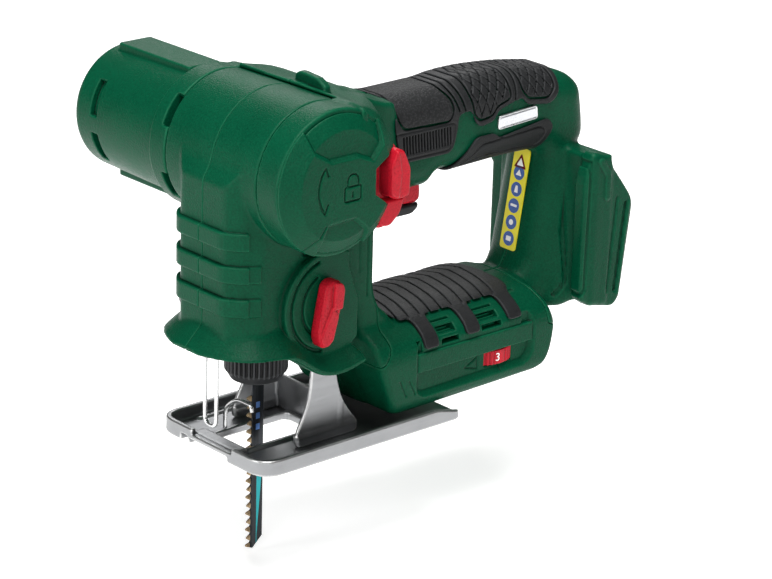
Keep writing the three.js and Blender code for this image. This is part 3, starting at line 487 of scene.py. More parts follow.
GREEN = moulded("green_plastic", "00422b", "1c6848", rough=0.38, grain=0.55, size=1250,
    Specular_IOR_Level=0.09)
RED = moulded("red_plastic", "b01626", "cf3542", rough=0.34, grain=0.14, size=1200, Specular_IOR_Level=0.14)
RUBBER = moulded("black_rubber", "1e1f20", "3a3c3e", rough=0.5, grain=0.45, size=1500,
    Specular_IOR_Level=0.18)
LEATHER = leather("leather_grain_rubber")
BLACK = moulded("black_plastic", "1d1e20", "4a4c4f", rough=0.42, grain=0.12, Specular_IOR_Level=0.25)
PLATE = metal("pressed_steel", "8e8f91", rough=0.34, sculpted=True)
WIRE = metal("bright_wire", "c9cacb", rough=0.2, stretch=(300, 300, 300), depth=0.03)
SILVER = metal("badge_silver", "dfe0e4", rough=0.28, stretch=(600, 600, 600), depth=0.02, sculpted=True)


# ---------------------------------------------------------------- camera, floor and light
def camera():
    azimuth, elevation, roll = (math.radians(v) for v in (138.06, 19.96, 1.63))
    back = Vector((math.sin(azimuth) * math.cos(elevation), -math.cos(azimuth) * math.cos(elevation),
        math.sin(elevation)))
    right = (-back).cross(Vector((0, 0, 1))).normalized()
    up = back.cross(right)
    turned_right = math.cos(roll) * right + math.sin(roll) * up
    turned_up = -math.sin(roll) * right + math.cos(roll) * up
    target, across, along, distance = Vector((0, 0, 100)), -32.12, 32.91, 1332.98
    eye = target - across * turned_right - along * turned_up + distance * back
    data = bpy.data.cameras.new("camera")
    data.sensor_width = 36
    data.lens = 139.9
    data.clip_end = 20
    made = bpy.data.objects.new("camera", data)
    made.matrix_world = Matrix((
        (turned_right.x, turned_up.x, back.x, eye.x * MM),
        (turned_right.y, turned_up.y, back.y, eye.y * MM),
        (turned_right.z, turned_up.z, back.z, eye.z * MM),
        (0, 0, 0, 1),
    ))
    bpy.context.scene.collection.objects.link(made)
    bpy.context.scene.camera = made


def softbox(name, place, aim, size, power, shape="RECTANGLE"):
    data = bpy.data.lights.new(name, "AREA")
    data.shape = shape
    data.size, data.size_y = size
    data.energy = power
    made = bpy.data.objects.new(name, data)
    made.location = place
    made.rotation_euler = (Vector(aim) - Vector(place)).to_track_quat("-Z", "Y").to_euler()
    bpy.context.scene.collection.objects.link(made)


def studio():
    world = bpy.data.worlds.new("studio")
    bpy.context.scene.world = world
    world.use_nodes = True
    tree = world.node_tree
    height = tree.nodes.new("ShaderNodeSeparateXYZ")
    tree.links.new(tree.nodes.new("ShaderNodeTexCoord").outputs["Generated"], height.inputs[0])
    ramp = tree.nodes.new("ShaderNodeValToRGB")
    ramp.color_ramp.elements[0].position = 0.05
    ramp.color_ramp.elements[0].color = (0.05, 0.05, 0.05, 1)
    ramp.color_ramp.elements[1].position = 0.75
    ramp.color_ramp.elements[1].color = (0.6, 0.6, 0.6, 1)
    tree.links.new(height.outputs["Z"], ramp.inputs[0])
    tree.links.new(ramp.outputs[0], tree.nodes["Background"].inputs[0])
    tree.nodes["Background"].inputs[1].default_value = 0.42
    bpy.context.scene.view_settings.view_transform = "Standard"
    middle = (-0.03, 0, 0.08)
    softbox("top", (0.1, 0.2, 1.3), middle, (0.7, 0.7), 21)
    softbox("camera_side", (1.0, 0.95, 0.75), middle, (0.8, 0.5), 6.5)
    softbox("front_strip", (1.2, -0.25, 0.4), middle, (0.3, 0.9), 6)
    softbox("back_rim", (-0.7, -0.9, 0.8), middle, (0.7, 0.5), 4)
    mesh = bpy.data.meshes.new("floor")
    reach, depth = 6.0, CAD_BOUNDS[0][2] - 0.002
    mesh.from_pydata([(-reach, -reach, depth), (reach, -reach, depth), (reach, reach, depth),
        (-reach, reach, depth)], [], [(0, 1, 2, 3)])
    floor = bpy.data.objects.new("floor", mesh)
    bpy.context.scene.collection.objects.link(floor)
    n = Nodes("floor_paper")
    soft = n.noise(9, 2)
    n.shader.inputs["Emission Color"].default_value = (1, 1, 1, 1)
    n.shader.inputs["Emission Strength"].default_value = 0.5
    floor.data.materials.append(n.done(n.mix(soft, shade("f4f4f2"), shade("fafaf9")), 0.85))


# ---------------------------------------------------------------- the D-handle
HANDLE = [
    (24.6, 164.4), (14, 164.4), (10, 162.8), (4, 161.2), (-8, 159.4), (-22, 152.0), (-32, 149.6),
    (-66, 150),
    (-76, 151.4), (-92, 151.6), (-114, 149.9), (-130, 147.4), (-140, 145.8), (-147, 143), (-153, 138),
    (-155.4, 125), (-156.6, 113), (-150, 104), (-150, 38), (-142, 34), (-133, 33),
    (-123, 31), (-119.6, 19), (-116, 12), (-111, 9.5), (-26, 7), (-21, 9.5), (-13, 32), (-9, 51),
    (-2.7, 69),
    (3, 86), (3, 107), (24.6, 120),
]
WINDOW = [
    (-19, 105.5), (-19, 67), (-23, 57), (-30, 50.6), (-112, 49.6), (-117, 51), (-121, 57), (-130, 106),
    (-126, 111.5), (-107, 112.3), (-62, 111), (-57, 105.5),
]
LOWER_BODY = [
    (-21, 9.5), (-13, 32), (-9.5, 50), (-14, 60), (-112, 60), (-117, 47), (-122, 31), (-119.6, 19),
    (-116, 12),
    (-111, 9.5), (-26, 7),
]
LOWER_SECTION = [
    (-40, 4), (25, 4), (30, 6.5), (34.5, 13), (34.5, 35), (32, 42), (24, 47.6), (14, 49.8), (0, 50.4),
    (-40, 50.4),
]
FRONT_COLUMN = [
    (3, 107), (3, 86), (-2.7, 69), (-9, 51), (-13, 32), (-26, 32), (-30, 52), (-23, 57), (-19, 67),
    (-19, 107),
]
REAR_COLUMN = [(-130, 111), (-130, 106), (-121, 57), (-117, 50), (-119, 32), (-133, 33.5), (-142, 36),
    (-142, 111)]
FLANGE = [
    (-138, 114), (-148, 108), (-160, 93), (-166, 85), (-160, 37), (-156, 33), (-143, 36), (-133, 40),
    (-133, 100),
]
SHOULDER_SIDE = [
    (24.6, 164.4), (14, 164.4), (10, 162.8), (4, 161.2), (-8, 159.4), (-22, 152.6), (-34, 150.6),
    (-34, 122),
    (-19, 106), (3, 100), (24.6, 120),
]
SHOULDER_PLAN = [(18, 44), (-2, 44), (-14, 36), (-26, 19), (-34, 17), (-34, -40), (18, -40)]
LOCK_NOTCH = [(-16, 145), (-1.5, 145), (0.4, 142.2), (5.2, 138.2), (5.2, 118), (4.5, 104), (-16, 104)]
CAP_NOTCH = [(-16, 142.4), (0.1, 142.4), (9.0, 136.5), (9.0, 125), (0, 118), (-16, 118)]
# where the lower body's side cover meets the columns
COVER = [
    (-20, 62), (-20.2, 41), (-17.5, 36.5), (-12.5, 33.2), (-5, 33), (-5, 0), (-126, 0), (-126, 31.5),
    (-116.4, 31.5),
    (-115.5, 40), (-112.5, 50), (-111, 62),
]
GRIP_HALF = 17.2
HANDLE_SCREWS = [(-26, 19, 34.5), (-110, 22, 34.5), (-8, 92, 22), (-146, 122, 17.2)]
HEAD_SCREWS = [(54, 66.5, 24), (44, 151.5, 32.2), (7, 151.5, 32.2)]
SCREW_HEAD_R = 3.0


def loop(grow=0.0, r=12.0):
    outer = [p for p in softened(HANDLE, 9)]
    inner = [p for p in softened(WINDOW, 8)]
    return lambda x, y, z: slab(
        np.maximum(polygon(outer, x, z), -polygon(inner, x, z)) - grow, y, -GRIP_HALF - grow,
        GRIP_HALF + grow, r)


def lower_block(grow=0.0, r=3.0):
    outline, section = softened(LOWER_BODY, 5), softened(LOWER_SECTION, 5)
    return lambda x, y, z: both(polygon(outline, x, z), polygon(section, y, z), r) - grow


def column_shapes(grow=0.0):
    """The two columns; the rear one narrows to a nose where the strip is."""
    broad = side(softened(REAR_COLUMN, 5), -27 - grow, 27 + grow, 5, grow)

    def nosed(x, y, z):
        front = -121 - 0.184 * (z - 57)
        return both(broad(x, y, z), (np.abs(y) - 8 - 1.15 * (front - x)) * 0.66 - grow, 5)
    return side(softened(FRONT_COLUMN, 8), -22 - grow, 22 + grow, 5, grow), nosed


def shoulder(grow=0.0):
    seen, above = softened(SHOULDER_SIDE, 7), softened(SHOULDER_PLAN, 10)
    return lambda x, y, z: both(polygon(seen, x, z), polygon(above, y * 0 + x, y), 3) - grow


def handle_body(clay, near):
    """Everything of one half of the handle, outside and in, before its seams are cut."""
    front, rear = column_shapes()
    clay.add(loop())
    clay.add(lower_block(), 3)
    clay.add(front, 4)
    clay.add(rear, 4)
    clay.add(shoulder(), 3)
    if near:
        clay.add(disc_y(BARREL_X, BARREL_Z, BARREL_R, HEAD_NEAR + GAP, CAP_LOW - GAP, 0.8), 2)
        boss = softened([(-1, 158), (-1, 167), (3, 169.6), (15, 169), (20.5, 166), (20.5, 158)], 1.5)
        clay.add(lambda x, y, z: both(polygon(boss, y + 0 * x, z), np.abs(x - 10.6) - 1.9, 0.8), 1.2,
            ((4, 17), (-1, 24), (150, 173)))
    else:
        clay.add(disc_y(BARREL_X, BARREL_Z, BARREL_R, -HEAD_FAR + GAP, -RING_FAR, 0.8), 2)
    # the rail across the top of the head's opening runs forward towards the far side
    rail = [(13.2, 46.5), (13.9, 36), (15.2, 0), (18.2, -32), (15, -32), (12, 0), (10.6, 36), (10, 46.5)]
    slope = lambda x: 166.6 - 0.5 * (18 - x)
    sign = 1 if near else -1
    clay.add(lambda x, y, z: both(polygon(rail, x, y * sign), np.abs(z - slope(x) + 4) - 4, 0.6), 0.8,
        ((0, 24), None, (150, 172)))
    if near:
        def beyond(x, y, z):
            out = 46 - 0.48 * (y - 20) - np.hypot(x - BARREL_X, z - BARREL_Z)
            return np.maximum(np.maximum(out * 0.9, 18.5 - y), np.maximum(99 - z, -60 - x))
        clay.cut(beyond, 2.5)
    clay.add(block(-146, -139, -1, 38 if near else 26, 37, 110, 2), 3)
    clay.add(block(-150, -146, -1, 38, 37, 110, 1), 2)
    flange = FLANGE if near else [(min(x0, -146), z0) for x0, z0 in FLANGE]
    clay.add(side(softened(flange, 5), 30, 38, 2), 2)
    clay.cut(lambda x, y, z: np.maximum(np.maximum(15.6 - 0.066 * y * sign - x, 120 - z),
        y - (30.4 if near else 32.4)), 0.4)
    # flange: ledges down its face and ribs at its foot
    clay.settle()
    clay.engrave(lambda x, y, z: both(path([(-160.5, 84), (-155.8, 42)], x, z) - 1.1, 30 - y, 0.3), 1.3)
    clay.engrave(lambda x, y, z: both(path([(-154.5, 88), (-150, 42)], x, z) - 0.7, 30 - y, 0.3), 0.8)
    clay.emboss(lambda x, y, z: both(polygon([(-163.5, 85), (-158.3, 39), (-157.1, 39), (-162.2, 85)], x,
        z), 30 - y), 0.6)
    clay.cut(block(-160, -146.5, -1, 30, 34, 108, 1), 0.5)
    # rooms for what moves or fits
    radius = BARREL_R + 0.4
    low, high = -1, HEAD_NEAR + GAP if near else -HEAD_FAR + GAP
    clay.cut(disc_y(BARREL_X, BARREL_Z, radius, -60, high, 0.2), 0.4)
    clay.cut(block(BARREL_X - 0.9, 90, -60, high, 0, BARREL_Z + BARREL_R + 6.2, 0.3), 0.4)
    clay.cut(block(3.1, 90, -60, high, 0, BARREL_Z, 0.3), 0.4)
    if near:
        clay.cut(disc_y(BARREL_X, BARREL_Z, 12, HEAD_NEAR - 1, DISC_FACE + 2))
        clay.cut(side(LOCK_NOTCH, 36, 60, 0.5), 0.4)
    else:
        clay.cut(disc_y(BARREL_X, BARREL_Z, 25.8, 30, 60))
        for low, high in ((20, 48), (-42, -18)):
            slot = [(BARREL_R * 1.2 * math.cos(math.radians(t)) + BARREL_X,
                BARREL_R * 1.2 * math.sin(math.radians(t)) + BARREL_Z)
                    for t in (low, high)] + [(BARREL_X, BARREL_Z)]
            clay.cut(side(slot, 33, 36.8, 0.2), 0.3)
    clay.cut(block(-57.5, -41.5, -8.4, 8.4, 90, 121, 0.8), 0.6)
    clay.cut(block(-151, -137, -15.3, 15.3, 52.7, 98.3, 0.6), 0.5)
    clay.cut(block(-157.6, -150, 26, 33, 30, 112, 0.4), 0.4)
    clay.keep(lambda x, y, z: 0.15 - y, 0.35)


def handle_details(clay, near):
    # panel lines on the front column and the rear column
    clay.settle()
    for x_top, x_low in ((-13.5, -13.5), (-8.3, -8.6)):
        clay.engrave(lambda x, y, z: path([(x_top, 101), (x_low, 66 if x_low < -10 else 78)], x, z) - 0.45,
            0.7)
    clay.engrave(lambda x, y, z: both(path([(-136.5, 108), (-135.5, 46), (-131, 40)], x, z) - 0.9, 20 - y),
        1.0)
    clay.emboss(lambda x, y, z: both(path([(-142, 108), (-147, 101), (-147, 90)], x, z) - 1.8, 20 - y), 1.2)
    if near:
        clay.engrave(lambda x, y, z: path(softened([(-25, 154.5), (-31, 149), (-36, 121)], 3), x, z) - 0.4,
            0.5)
    else:
        for x0, z0, face in HANDLE_SCREWS[2:]:
            clay.cut(disc_y(x0, z0, SCREW_HEAD_R + GAP, face - 0.2, 60, 0), 0.5)


def handle_shell(near):
    clay = Clay((-168, -0.6, 5), (60, 49.5, 174), 0.75)
    handle_body(clay, near)
    cover = softened(COVER, 3)
    clay.cut(lambda x, y, z: polygon(cover, x, z) - 0.15, 0.35)
    handle_details(clay, near)
    name = "left" if near else "right"
    clay.piece(f"handle_{name}", "handle", [f"handle_shell_{name}"], GREEN, not near)


PANEL = [(-33.6, 43.7), (-33.6, 17), (-38, 13.9), (-103, 15.4), (-107.7, 21), (-107.7, 43.7)]
STRAPS = [(-38.4, -46.9, 37.5), (-64.2, -72.7, 38.7), (-90.6, -99.2, 39.9)]


def lower_cover(near):
    """The lower body's side cover, with its panel, vents, name field and dial window."""
    clay = Clay((-123, -0.6, 5), (-4, 36.5, 60), 0.5)
    handle_body_for_cover(clay)
    cover = softened(COVER, 3)
    clay.keep(lambda x, y, z: polygon(cover, x, z) + 0.15, 0.35)
    clay.settle()
    panel = softened(PANEL, 5)
    panel_box = ((-112, -30), (25, 40), (10, 46))
    clay.cut(lambda x, y, z: both(polygon(panel, x, z) + 1.0 * (34.6 - y), 31.8 - y, 0.4), 0.4, panel_box)
    clay.fill(lambda x, y, z: slab(polygon([(-35, 35.6), (-35, 26.6), (-106.4, 26.6), (-106.4, 35.6)], x,
        z), y, 26, 34.2, 0.4))
    clay.fill(lambda x, y, z: slab(polygon([(-38, 45.5), (-38, 35), (-100, 35), (-100, 45.5)], x, z), y, 26,
        33.2, 0.6))
    vents = ((-59.5, -48.8, 42.5), (-60.6, -49.9, 38.2), (-86.2, -74.3, 42.8), (-87.3, -75, 39.0))
    for x0, x1, z0 in vents:
        clay.cut(side([(x0, z0 - 1.2), (x1, z0 - 1.2), (x1, z0 + 1.2), (x0, z0 + 1.2)], 19, 60, 0.3), 0.3)
    for x0, x1, _ in vents[::2]:
        for y0 in (25.5, 28.6):
            clay.cut(block(x0, x1, y0 - 0.55, y0 + 0.55, 40, 60, 0.2), 0.3)
    clay.cut(block(-105, -99.5, 20, 40, 47.6, 49.6, 0.3), 0.3)
    clay.cut(side([(-35, 41), (-37.5, 41), (-36, 38)], 26, 60, 0.2), 0.2)
    if near:
        clay.cut(block(-95, -78, 14, 60, 18.9, 26.5, 0.5), 0.5)
        clay.settle()
        clay.engrave(lambda x, y, z: np.abs(polygon([(-66, 21.3), (-73.5, 19.3), (-73.5, 25.2)], x,
            z)) - 0.35, 0.5)
        clay.engrave(lambda x, y, z: path([(-86.7, 18.6), (-86.7, 15.6)], x, z) - 0.4, 0.5)
        clay.engrave(lambda x, y, z: path([(-24, 25), (-27.5, 17.5)], x, z) - 0.5, 0.5)
        clay.engrave(lambda x, y, z: path([(-29.5, 24), (-33, 17.5)], x, z) - 0.5, 0.5)
    else:
        for x0, z0, face_y in HANDLE_SCREWS[:2]:
            clay.cut(disc_y(x0, z0, SCREW_HEAD_R + GAP, face_y - 0.2, 60, 0), 0.5)
            clay.cut(disc_y(x0, z0, SCREW_HEAD_R + 1.2, face_y - 0.8, 60, 0.3), 0.5)
    name = "left" if near else "right"
    clay.piece(f"lower_cover_{name}", "handle", [f"handle_shell_{name}"], GREEN, not near)


def handle_body_for_cover(clay):
    front, rear = column_shapes()
    clay.add(loop())
    clay.add(lower_block(), 3)
    clay.add(front, 4)
    clay.add(rear, 4)
    clay.keep(lambda x, y, z: 0.15 - y, 0.35)


# ---------------------------------------------------------------- the head
NECK_SIDE = [(63, 128), (63, 54), (41, 54), (24, 42), (16, 39.6), (-1, 42.5), (-1.4, 69), (4, 86),
    (4, 131.8), (30, 148), (40, 150), (52, 147), (62, 130)]
NECK_PLAN = [(63, -40), (63, 15), (58, 21.5), (50, 26), (-8, 26), (-8, -40)]
SKIRT_PLAN = [(69.5, -40), (69.5, 4), (68, 11), (63.7, 21), (57, 28.6), (40.8, 33.6), (36, 34), (-2, 34),
    (-2, -40)]
SKIRT_LOW = [(80, 52), (41, 52), (24, 40), (16, 37.6), (6, 38.6), (-2.2, 41.2)]
CLAMP_X, CLAMP_Z, CLAMP_R, CLAMP_FACE = 15.0, 70.0, 25.0, 29.5
RIM = 4.5


def skirt_height(x):
    """The height of the skirt's lower edge at each x."""
    line = softened([(90, 52)] + SKIRT_LOW + [(-12, 43)], 7, 6)[6:-6]
    xs, zs = zip(*sorted(line))
    return np.interp(x, xs, zs).astype(np.float32)


def head_shell(near):
    high = HEAD_NEAR if near else -HEAD_FAR
    clay = Clay((-9, -0.6, 36), (71, 35.5, 167), 0.55)
    seen, above = softened(NECK_SIDE, 4), softened(NECK_PLAN, 2.5)
    clay.add(disc_y(BARREL_X, BARREL_Z, BARREL_R, -60, high, 0.9))
    clay.add(lambda x, y, z: both(polygon(seen, x, z), polygon(above, x, y), 0.9), 1.2)
    ribs = softened(NECK_PLAN, 2.5)
    for low, top in ((71, 79.2), (86.4, 94), (101.3, 109.2)):
        levels = (None, None, (low - 3, top + 3))
        clay.add(lambda x, y, z: both(slab(polygon(ribs, x, y) - 1.9, z, low, top, 0.8), 56.2 - x, 0.4),
            0.2, levels)
        if low < 100:
            clay.add(lambda x, y, z: both(slab(polygon(ribs, x, y) - 0.9, z, low, top, 0.5), 50.8 - x, 0.3),
                0.2, levels)
    outline = softened(SKIRT_PLAN, 5)

    def skirt(x, y, z):
        height = skirt_height(x)
        flat = polygon(outline, x, y)
        rim = both(flat, np.abs(z - height - RIM / 2) - RIM / 2, 0.7)
        slope = np.maximum(np.maximum((flat + (z - height - RIM)) * 0.7, height + 1 - z), z - height - 12)
        return either(rim, slope, 0.4)

    clay.add(skirt, 1.2, (None, None, (30, 75)))
    clay.add(disc_y(CLAMP_X, CLAMP_Z, CLAMP_R, -2, CLAMP_FACE, 0.8), 1.0)
    clay.cut(side([(-90, 0), (-1.6, 0), (-1.6, 69), (4, 86), (4, 99), (-9.5, 99), (-90, 99)], -60, 60, 0.2),
        0.6)
    clay.settle()
    # grooves round the clamp lever and its two end marks
    for radius, start, end in ((21.5, -78, 73), (15.2, -52, 63)):
        groove = arc((CLAMP_X, CLAMP_Z), radius, start, end, 16)
        clay.engrave(lambda x, y, z: both(path(groove, x, z) - 0.75, 20 - y, 0.1), 1.3)
    clay.engrave(lambda x, y, z: both(np.abs(np.hypot(x - 26, z - 95.5) - 1.6) - 0.5, 20 - y, 0.1), 0.8)
    clay.engrave(lambda x, y, z: both(path([(29.5, 99), (33, 104)], x, z) - 0.5, 20 - y, 0.1), 0.8)
    clay.engrave(lambda x, y, z: both(path([(33.5, 99.5), (29.5, 103.5)], x, z) - 0.5, 20 - y, 0.1), 0.8)
    # undersides and openings
    inner = softened([(60.5, -40), (60.5, 13), (56, 19), (49, 23.5), (1, 23.5), (1, -40)], 4)
    clay.cut(lambda x, y, z: slab(polygon(inner, x, y), z, 0, 57, 1), 0.5)
    sleeve_top = spot("chuck_sleeve", 0, 0, 1)[2]
    clay.cut(disc_z(PLUNGER_X, 0, 15.9, 0, sleeve_top + STROKE_UP + 1, 0.5), 0.3)
    clay.cut(block(3.5, 20.5, 20.7, 23.3, 0, 62, 0.2))
    clay.cut(disc_z(57.5, 4, 1.2, 0, 65, 0))
    clay.cut(disc_y(CLAMP_X, CLAMP_Z, 5.3, 10, 40, 0), 0.3)
    if near:
        clay.cut(disc_y(BARREL_X, BARREL_Z, 12, HEAD_NEAR - 3.5, 60, 0))
    else:
        clay.cut(disc_y(BARREL_X, BARREL_Z, 12, -HEAD_FAR - 3.5, 60, 0))
        for x0, z0, face in HEAD_SCREWS:
            clay.cut(disc_y(x0, z0, SCREW_HEAD_R + GAP, face - 0.2, 60, 0), 0.5)
    clay.keep(lambda x, y, z: 0.12 - y, 0.3)
    name = "left" if near else "right"
    clay.piece(f"head_{name}", "head", [f"head_shell_{name}"], GREEN, not near)


def pivot_cap():
    clay = Clay((-9, CAP_LOW - 0.5, 98), (60, 52.5, 166), 0.4)
    profile = [(0, CAP_LOW), (32.9, CAP_LOW), (32.9, CAP_LOW + 0.7), (25.3, CAP_FACE), (0, CAP_FACE)]
    clay.add(turned(profile, BARREL_X, BARREL_Z))
    upper = [(60, 170), (43.5, 148.6), (34.5, 143.4), (19.2, 143.5), (10.6, 140), (3, 149), (-9, 175)]
    lower = [(47, 92), (35.1, 116.5), (19.7, 117), (8.9, 107.5), (2, 96), (2, 90)]
    sink = 2.2
    low_profile = [(0, 40), (34, 40), (30.5, CAP_LOW + 0.6), (24.6, CAP_FACE - sink), (0, CAP_FACE - sink)]
    floor = turned(low_profile, BARREL_X, BARREL_Z)
    for outline in (upper, lower):
        clay.cut(lambda x, y, z: np.maximum(polygon(outline, x, z) + 0.7 * (CAP_FACE - y), -floor(x, y, z)),
            0.25)
    clay.settle()
    turn = arc((BARREL_X, BARREL_Z), 15.5, -38, 38, 14)
    clay.engrave(lambda x, y, z: path(turn, x, z) - 0.55, 0.8)
    for (x0, z0), sign in ((turn[0], 1), (turn[-1], -1)):
        head = [(x0 + 2.2, z0 + 2.8 * sign), (x0 - 0.4, z0 - 0.6 * sign), (x0 - 1.9, z0 + 3.1 * sign)]
        clay.engrave(lambda x, y, z: path(head, x, z) - 0.5, 0.8)
    # a padlock mark: body, shackle and keyhole
    lock_x, lock_z = BARREL_X - 3.5, BARREL_Z - 3
    body = [(lock_x - 4.5, lock_z - 4), (lock_x + 4.5, lock_z - 4), (lock_x + 4.5, lock_z + 2.5),
        (lock_x - 4.5, lock_z + 2.5)]
    shackle = [(lock_x - 3, lock_z + 2.5)] + arc((lock_x, lock_z + 5), 3, 180, 0,
        9) + [(lock_x + 3, lock_z + 2.5)]
    clay.engrave(lambda x, y, z: np.abs(polygon(softened(body, 1), x, z)) - 0.45, 0.8)
    clay.engrave(lambda x, y, z: path(shackle, x, z) - 0.45, 0.8)
    clay.engrave(lambda x, y, z: path([(lock_x, lock_z - 0.2), (lock_x, lock_z - 2)], x, z) - 0.55, 0.8)
    clay.engrave(lambda x, y, z: path([(36.5, 116), (45, 105)], x, z) - 0.3, 0.35)
    clay.cut(side(CAP_NOTCH, 36, 60, 0.3), 0.4)
    clay.piece("lock_cap", "handle", ["pivot_cap"], GREEN)


def motor_housing():
    far, near = spot("motor_cover", 0, 0, 0)[1], spot("motor_cover", 0, 1, 0)[1]
    clay = Clay((BARREL_X - 32, far - 1, BARREL_Z - 32), (BARREL_X + 32, near + 1, BARREL_Z + 32), 0.5)
    profile = softened([(0, near), (30.2, near), (29.2, far + 3.5), (26, far), (0, far)], 2.5)
    clay.add(turned(profile, BARREL_X, BARREL_Z))
    for sign in (-1, 1):
        z0 = BARREL_Z + sign * 29.4
        clay.add(block(BARREL_X - 9, BARREL_X + 9, far + 9, near - 1.5, z0 - 2.2, z0 + 2.2, 1), 0.8)
    clay.cut(turned([(0, near - 4), (25.8, near - 4), (25.8, near + 9), (0, near + 9)], BARREL_X, BARREL_Z))
    for low, high in ((4, 38), (-42, -12), (142, 176), (-168, -138)):
        slot = [(BARREL_X, BARREL_Z)] + arc((BARREL_X, BARREL_Z), 40, low, high, 5)
        clay.cut(lambda x, y, z: both(slab(polygon(slot, x, z), y, far + 14.5, far + 19.5, 0.3),
            26.5 - np.hypot(x - BARREL_X, z - BARREL_Z)), 0.4)
    for i in range(6):
        turn = math.radians(30 + 60 * i)
        x0, z0 = BARREL_X + 15 * math.cos(turn), BARREL_Z + 15 * math.sin(turn)
        reach = [(x0 - 5 * math.cos(turn), z0 - 5 * math.sin(turn)),
            (x0 + 5 * math.cos(turn), z0 + 5 * math.sin(turn))]
        clay.cut(lambda x, y, z: slab(path(reach, x, z) - 1.4, y, far - 5, far + 2.4, 0.2), 0.4)
    clay.piece("motor_housing", "handle", ["motor_cover"], GREEN)


# ---------------------------------------------------------------- soft grips
TOP_GRIP = [
    (-25.5, 160), (-29.5, 150), (-31, 136), (-34.6, 122), (-63.5, 121.6), (-66.5, 124), (-68.6, 132),
    (-69, 138.8), (-77, 139.6), (-80, 132.6),
    (-83, 130.6), (-91, 132), (-93.5, 136.2), (-101, 138.5), (-109, 140), (-112, 136), (-127, 134),
    (-132.6, 138.5), (-137, 160),
]
UNDER_GRIP = [
    (-68.8, 100), (-70, 113), (-80.6, 126), (-92, 126), (-95.2, 123.3), (-126, 127.3), (-129.5, 123),
    (-125, 113), (-124, 100),
]


def rubber_sleeve(clay, outline, grow=1.8, r=13.8):
    clay.add(loop(grow, r))
    clay.cut(loop(0.1))
    cut_back = shoulder(GAP)
    clay.cut(cut_back)
    for column in column_shapes(GAP):
        clay.cut(column)
    clay.keep(lambda x, y, z: polygon(outline, x, z), 0.7)


def main_grip():
    clay = Clay((-139, -21, 119), (-24, 21, 159), 0.5)
    rubber_sleeve(clay, softened(TOP_GRIP, 3))
    clay.settle()
    panel = softened([(-31, 170), (-32.5, 143), (-35.5, 137.5), (-63.5, 136.6), (-66, 140), (-66, 146),
        (-62, 151), (-62, 170)], 3)
    clay.engrave(lambda x, y, z: np.abs(polygon(panel, x, z)) - 0.55, 0.9)
    band = softened([(-30.8, 136), (-33.8, 123.5), (-63.5, 123.4), (-66.2, 127), (-67.2, 135.5)], 2)
    clay.engrave(lambda x, y, z: np.abs(polygon(band, x, z)) - 0.4, 0.5)
    for i in range(17):
        x0 = -36.5 - 1.75 * i
        clay.engrave(lambda x, y, z: path([(x0, 125.5), (x0 + 0.8, 134.0)], x, z) - 0.42, 0.9,
            box=((x0 - 3, x0 + 3), None, (122, 137)))
    # the two raised steps behind the leather panel
    for x_top, x_low in ((-66.5, -69.5), (-70.5, -73), (-106, -104)):
        clay.engrave(lambda x, y, z: path([(x_top, 170), (x_top, 150), (x_low, 140)], x, z) - 0.5, 0.9)
    knurls = (
        softened([(-76, 170), (-76, 148), (-79, 136.5), (-82.3, 133.6), (-90, 134.6), (-93, 138.6),
        (-101.5, 141), (-101, 170)], 2),
        softened([(-108.5, 170), (-109, 143), (-112.5, 139), (-125, 137.2), (-130, 141.5), (-132, 170)], 2),
    )
    for outline in knurls:
        clay.engrave(lambda x, y, z: np.abs(polygon(outline, x, z)) - 0.55, 0.9)
        inside = lambda x, z: polygon(outline, x, z) + 1.2
        for lean in (-1, 1):
            def diamonds(x, y, z):
                along = x + lean * 0.42 * (z - np.abs(y) * 1.0)
                wave = np.abs((along / 5.2) % 1 - 0.5) * 5.2 * 0.92
                return both(wave - 0.35, inside(x, z), 0.2)
            clay.engrave(diamonds, 0.75, 0.15)
    clay.piece("grip_rubber", "handle", ["main_grip"], [RUBBER, LEATHER])
    leather_faces(panel)


def leather_faces(panel):
    """The front panel of the grip takes the leather grain."""
    mesh = bpy.data.objects["grip_rubber"].data
    middle = np.empty(len(mesh.polygons) * 3)
    mesh.polygons.foreach_get("center", middle)
    middle = middle.reshape(-1, 3) / MM
    inside = polygon(panel, middle[:, 0], middle[:, 2]) < -0.3
    mesh.polygons.foreach_set("material_index", inside.astype(np.int32))


def under_grip():
    clay = Clay((-131, -21, 107), (-67, 21, 129), 0.5)
    rubber_sleeve(clay, softened(UNDER_GRIP, 3))
    clay.settle()
    inner = softened([(-74, 112.5), (-84, 122), (-121, 124), (-124.5, 121.5), (-121.5, 114.8),
        (-86, 115.8)], 2)
    clay.engrave(lambda x, y, z: np.abs(polygon(inner, x, z)) - 0.4, 0.6)
    clay.piece("under_rubber", "handle", ["under_grip"], RUBBER)


